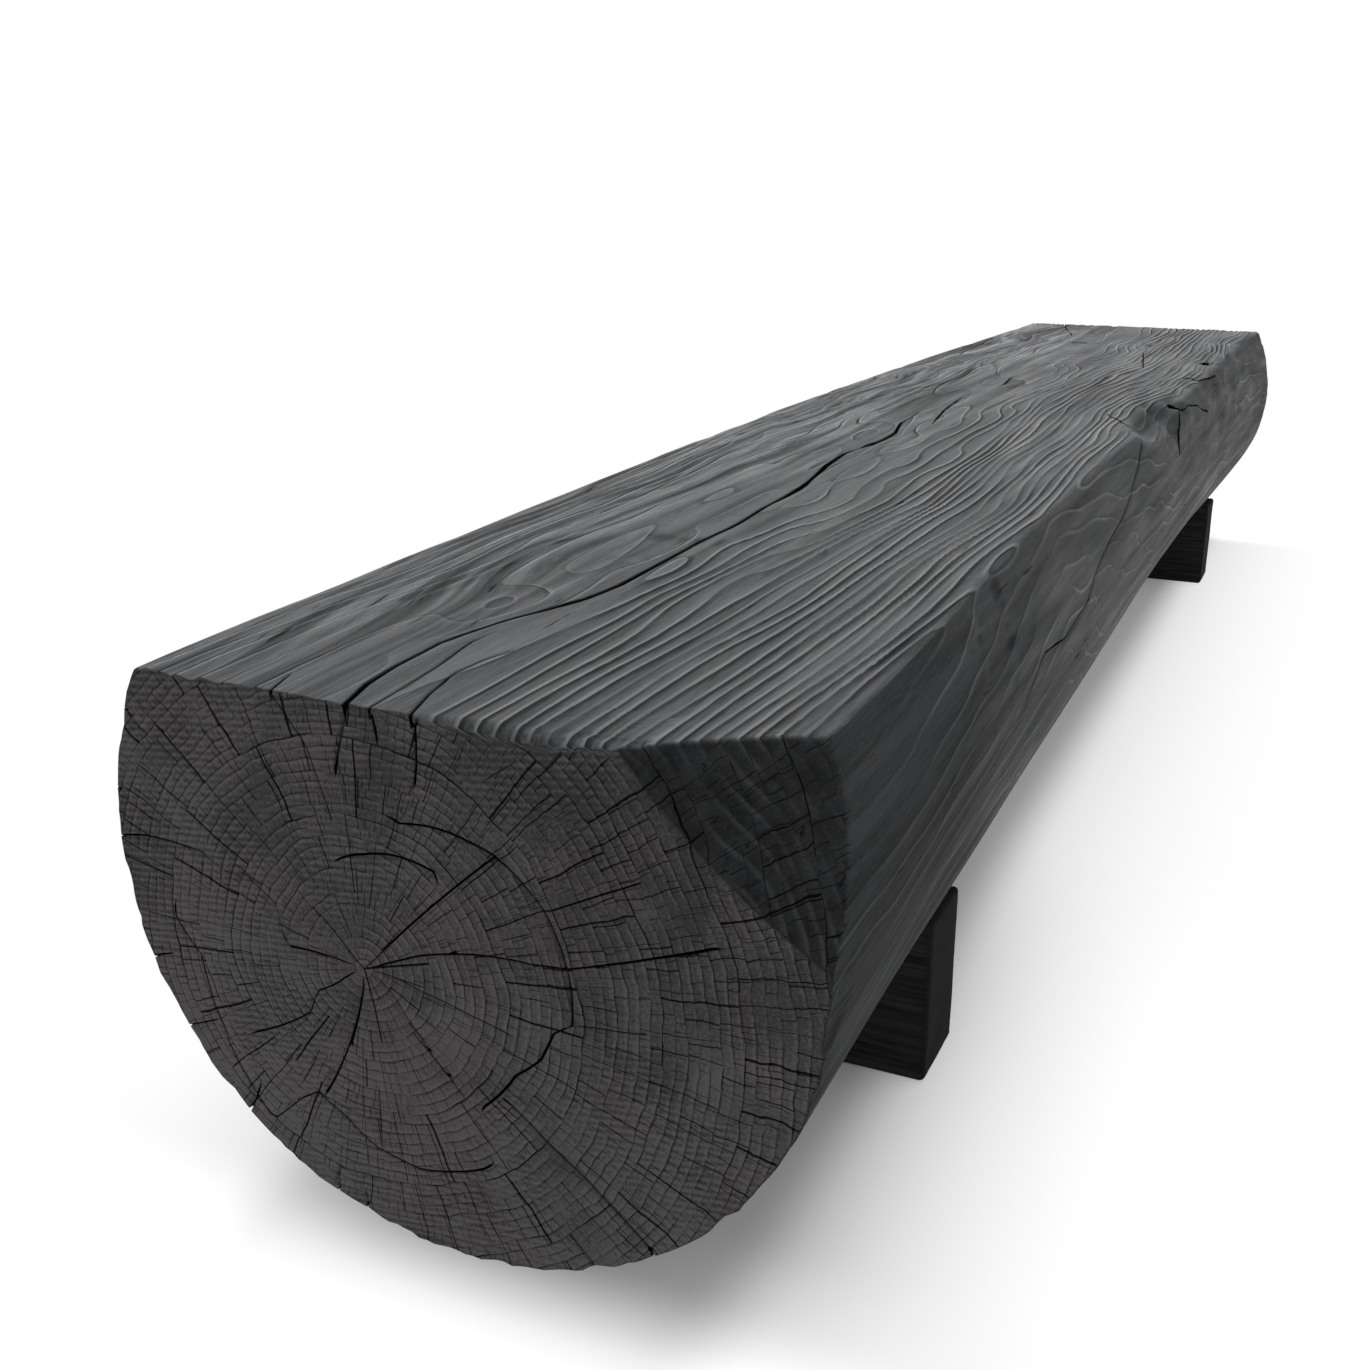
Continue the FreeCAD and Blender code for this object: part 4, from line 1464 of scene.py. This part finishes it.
def cut_block(low, high, edge_round):
    """A block with softened edges, cut across in every direction so that its faces can carry relief."""
    size = high - low
    shaping = bmesh.new()
    bmesh.ops.create_cube(shaping, size=1.0)
    bmesh.ops.scale(shaping, vec=size, verts=shaping.verts)
    bmesh.ops.translate(shaping, vec=(low + high) / 2, verts=shaping.verts)
    edges = shaping.edges[:]
    bmesh.ops.bevel(
        shaping, geom=edges, offset=edge_round, affect="EDGES", segments=3, profile=0.5, material=-1
    )
    inset = edge_round + 1 * MM
    for axis, gap in enumerate(FOOT_CUTS):
        count = int((size[axis] - 2 * inset) / gap)
        heading = [0.0, 0.0, 0.0]
        heading[axis] = 1.0
        for cut in np.linspace(low[axis] + inset, high[axis] - inset, count):
            spot = [0.0, 0.0, 0.0]
            spot[axis] = cut
            parts = shaping.verts[:] + shaping.edges[:] + shaping.faces[:]
            bmesh.ops.bisect_plane(shaping, geom=parts, dist=1e-6, plane_co=spot, plane_no=heading)
    bmesh.ops.recalc_face_normals(shaping, faces=shaping.faces)
    shaping.normal_update()
    return shaping


def shape_foot(name, settings):
    """A foot as one closed block with softened, brushed faces."""
    low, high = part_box(name)
    shaping = cut_block(low, high, settings.edge_round)
    points = np.array([vertex.co for vertex in shaping.verts])
    normals = np.array([vertex.normal for vertex in shaping.verts])
    seed = FEET.index(name) * 50 + 100
    pith = (low.x + FOOT_PITH[0], low.z + FOOT_PITH[1])
    reach = np.hypot(points[:, 0] - pith[0], points[:, 2] - pith[1])
    reach += sway_of(points, [(size, stretch, seed + step) for step, size, stretch in FOOT_SWAY])
    rings = reach / FOOT_RING + 0.6 * np.sin(reach / 0.017)
    sunk = settings.ridge * (1 - ring_profile(rings))
    sunk += 0.5 * MM * (waves(points, (0.06, 0.2, 0.05), seed + 2) + 1)
    off_sole = np.clip((points[:, 2] - low.z) / (2 * MM), 0, 1)
    sunk *= off_sole * (1 - 0.6 * np.abs(normals[:, 1]))
    for vertex, spot in zip(shaping.verts, points - normals * sunk[:, None]):
        vertex.co = spot
    for face in shaping.faces:
        face.smooth = True
    mesh = mesh_of(name + "_charred", shaping)
    layer = mesh.attributes.new("rings", "FLOAT", "POINT")
    layer.data.foreach_set("value", rings.astype(np.float32))
    piece = link_object(name + "_charred", mesh)
    bore_foot(piece, name.split("_")[0])
    return piece


def bore_foot(piece, side):
    """Bores a foot from below for its two screws and their heads."""
    cutters = []
    screws = [name for name in FASTENERS if name.startswith(side) and name.endswith("_screw")]
    for screw in screws:
        low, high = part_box(screw)
        for radius, depth in (HEAD_BORE, SHANK_BORE):
            shaping = bmesh.new()
            tall = depth + 2 * BORE_START
            bmesh.ops.create_cone(
                shaping, cap_ends=True, segments=64, radius1=radius, radius2=radius, depth=tall
            )
            middle = Vector(((low.x + high.x) / 2, (low.y + high.y) / 2, depth / 2 - BORE_START))
            bmesh.ops.translate(shaping, vec=middle, verts=shaping.verts)
            cutter = link_object("bore", mesh_of("bore", shaping))
            boring = piece.modifiers.new("bore", "BOOLEAN")
            boring.operation = "DIFFERENCE"
            boring.solver = "EXACT"
            boring.object = cutter
            cutters.append(cutter)
    graph = bpy.context.evaluated_depsgraph_get()
    cut = piece.evaluated_get(graph)
    bored = bpy.data.meshes.new_from_object(cut, preserve_all_data_layers=True, depsgraph=graph)
    if len(bored.polygons) <= len(piece.data.polygons):
        raise RuntimeError("the bores of %s were not cut" % piece.name)
    bored.name = piece.data.name
    piece.modifiers.clear()
    piece.data = bored
    for cutter in cutters:
        mesh = cutter.data
        bpy.data.objects.remove(cutter)
        bpy.data.meshes.remove(mesh)


def foot_material(settings):
    """Nearly black charred wood with brushed grain along each foot, darker on its sawn ends, partly painted
    shade.
    """
    material, finish = new_material("charred_foot")
    place = finish.node("ShaderNodeTexCoord", out="Object")
    _, y, _ = finish.split(place)
    end = finish.ramp(y.size(), *FOOT_END)
    fibre, streak, mottle = (finish.grain(place, *shape) for shape in FOOT_NOISE)
    crest = finish.hump(finish.attribute("rings").fract(), (0.58, 0.9), (0.93, 1.0))
    wear = crest * 0.1 + (fibre - 0.5) * 1.3 + (streak - 0.5) * 1.1 + (mottle - 0.5) * 0.5
    # Sawn ends darker: partly darker end grain, partly painted shade for the light they get.
    tone = finish.ramp(wear + 0.42, 0.0, 1.0) * (1.0 - end * 0.88)
    base = finish.blend(tone, colour(settings.char_colour, 0.45), colour(settings.char_colour, 2.0))
    rough = 0.9 + (mottle - 0.5) * 0.2 - crest * 0.08
    bump = finish.bump(crest * 0.15 + fibre * 0.7 + streak * 0.5, 0.45, MM)
    finish.close(finish.surface(base, rough, 0.05, {"Normal": bump}))
    return material


def zinc_material(settings):
    """Zinc plating with dull spangles and fine wear."""
    material, finish = new_material("zinc_steel")
    place = finish.node("ShaderNodeTexCoord", out="Object")
    spangle, scratch = (finish.grain(place, *shape) for shape in ZINC_NOISE)
    dull = colour(settings.zinc_colour, 0.72)
    base = finish.blend(finish.ramp(spangle, 0.3, 0.7), dull, colour(settings.zinc_colour))
    rough = 0.3 + spangle * 0.25 + scratch * 0.1
    bump = finish.bump(spangle * 0.3 + scratch * 0.3, 0.2, 0.3 * MM)
    finish.close(finish.surface(base, rough, 0.5, {"Normal": bump, "Metallic": 1.0}))
    return material


def seen_rays(finish):
    """1 for what the camera sees, straight, mirrored or through glass, and 0 for the light on the bench."""
    path = finish.node("ShaderNodeLightPath", out="Is Camera Ray")
    outputs = path.socket.node.outputs
    mirrored = Wire(finish, outputs["Is Glossy Ray"])
    through = Wire(finish, outputs["Is Transmission Ray"])
    return (path + mirrored + through).least(1.0)


def aim(made, heading):
    """Turns a lamp or camera to look along a heading."""
    made.rotation_euler = Vector(heading).to_track_quat("-Z", "Y").to_euler()


def set_light(settings):
    """Even white surroundings, with one soft lamp above."""
    world = bpy.data.worlds.new("studio")
    world.use_nodes = True
    bpy.context.scene.world = world
    finish = Finish(world.node_tree)
    strength = seen_rays(finish) * (1.0 - settings.sky) + settings.sky
    light = finish.node("ShaderNodeBackground", None, {"Color": WHITE, "Strength": strength})
    finish.node("ShaderNodeOutputWorld", None, {"Surface": light})
    lamp = bpy.data.lights.new("overhead_lamp", "SUN")
    lamp.energy = settings.lamp
    lamp.angle = LAMP_SPREAD
    aim(link_object("overhead_lamp", lamp), LAMP_HEADING)


def painted_white_share(finish, side, ramp, start, slope):
    """Share of painted white glow over the floor's shadow at a distance to the side of the log: a soft step,
    then a steady climb.
    """
    return finish.ramp(side, *ramp) + (side - start).most(0.0) * slope


def floor_material(settings):
    """Plain white that keeps the bench's rendered soft shadow, lightened by a painted white glow for seen rays,
    thinner by the near foot, and fades to clear white away from it.
    """
    material, finish = new_material("studio_floor")
    x, y, _ = finish.split(finish.node("ShaderNodeTexCoord", out="Object"))
    side = y.size()
    beside = painted_white_share(finish, side, *LIT_BESIDE_LOG)
    by_foot = painted_white_share(finish, side, *LIT_BESIDE_FOOT)
    near = finish.fall(x, *NEAR_SHADE_ENDS) * finish.ramp(x, *NEAR_SHADE_STARTS, 0.2, 1.0)
    past_end = finish.ramp(x.size(), *LIT_PAST_END)
    # Painted white glow over the rendered shadow, shaped by distance from the log and feet.
    away = (beside + (by_foot - beside) * near + past_end).least(1.0)
    base = finish.blend(away, colour(settings.floor_colour, 0.99), colour(settings.floor_colour))
    plain = finish.node("ShaderNodeBsdfDiffuse", None, {"Color": base})
    white = finish.node("ShaderNodeEmission", None, {"Color": WHITE, "Strength": 1.0})
    finish.close(finish.node("ShaderNodeMixShader", None, {0: seen_rays(finish) * away, 1: plain, 2: white}))
    return material


def lay_floor(settings):
    """A wide pale floor."""
    shaping = bmesh.new()
    bmesh.ops.create_grid(shaping, x_segments=4, y_segments=4, size=FLOOR_REACH)
    bmesh.ops.translate(shaping, vec=(0, 0, -FLOOR_GAP), verts=shaping.verts)
    floor = link_object("studio_floor", mesh_of("studio_floor", shaping))
    floor.data.materials.append(floor_material(settings))


def place_camera(settings):
    """The photograph's own view of the bench."""
    camera = bpy.data.cameras.new("photo_view")
    camera.lens = settings.lens
    camera.sensor_width = 36.0
    camera.clip_end = 500.0
    view = link_object("photo_view", camera)
    view.location = CAMERA_PLACE
    level = math.cos(CAMERA_PITCH)
    aim(view, (math.cos(CAMERA_YAW) * level, math.sin(CAMERA_YAW) * level, -math.sin(CAMERA_PITCH)))
    bpy.context.scene.camera = view


class BENCH_OT_set_stage(bpy.types.Operator):
    """Set up the floor, the light and the camera"""

    bl_idname = "bench.set_stage"
    bl_label = "Set Stage"

    def execute(self, context):
        settings = context.scene.bench_stage
        context.scene.view_settings.view_transform = "Standard"
        lay_floor(settings)
        set_light(settings)
        place_camera(settings)
        return {"FINISHED"}


class BENCH_OT_carve_log(bpy.types.Operator):
    """Carve the log with its ridges, cracks and ends, and char it"""

    bl_idname = "bench.carve_log"
    bl_label = "Carve Log"

    def execute(self, context):
        settings = context.scene.bench_log
        piece = carve_log(settings)
        piece.data.materials.append(log_material(settings))
        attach(piece, "root")
        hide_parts("seat_log")
        return {"FINISHED"}


class BENCH_OT_shape_feet(bpy.types.Operator):
    """Shape the two cross feet and char them"""

    bl_idname = "bench.shape_feet"
    bl_label = "Shape Feet"

    def execute(self, context):
        settings = context.scene.bench_feet
        material = foot_material(settings)
        for name in FEET:
            piece = shape_foot(name, settings)
            piece.data.materials.append(material)
            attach(piece, "root")
            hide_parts(name)
        return {"FINISHED"}


class BENCH_OT_plate_fasteners(bpy.types.Operator):
    """Give the screws and washers their zinc plating"""

    bl_idname = "bench.plate_fasteners"
    bl_label = "Plate Fasteners"

    def execute(self, context):
        material = zinc_material(context.scene.bench_feet)
        for name in FASTENERS:
            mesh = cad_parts[name].data
            mesh.materials.clear()
            mesh.materials.append(material)
        return {"FINISHED"}


class BENCH_PT_sidebar(bpy.types.Panel):
    """Lists the bench's steps and sizes"""

    bl_idname = "BENCH_PT_sidebar"
    bl_label = "Charred Log Bench"
    bl_space_type = "VIEW_3D"
    bl_region_type = "UI"
    bl_category = "Bench"

    def draw(self, context):
        for step in STEPS:
            self.layout.operator(step.bl_idname)
        for label in GROUPS:
            group = getattr(context.scene, label)
            for name in group.bl_rna.properties.keys():
                if name not in ("rna_type", "name"):
                    self.layout.prop(group, name)


GROUPS = {"bench_log": LogSettings, "bench_feet": FootSettings, "bench_stage": StageSettings}
STEPS = (BENCH_OT_set_stage, BENCH_OT_carve_log, BENCH_OT_shape_feet, BENCH_OT_plate_fasteners)


def register():
    for label, group in GROUPS.items():
        bpy.utils.register_class(group)
        setattr(bpy.types.Scene, label, PointerProperty(type=group))
    for made in (*STEPS, BENCH_PT_sidebar):
        bpy.utils.register_class(made)


def unregister():
    for made in reversed((*STEPS, BENCH_PT_sidebar)):
        bpy.utils.unregister_class(made)
    for label, group in GROUPS.items():
        delattr(bpy.types.Scene, label)
        bpy.utils.unregister_class(group)


def main():
    register()
    bpy.ops.bench.set_stage()
    bpy.ops.bench.carve_log()
    bpy.ops.bench.shape_feet()
    bpy.ops.bench.plate_fasteners()


if __name__ == "__main__":
    main()
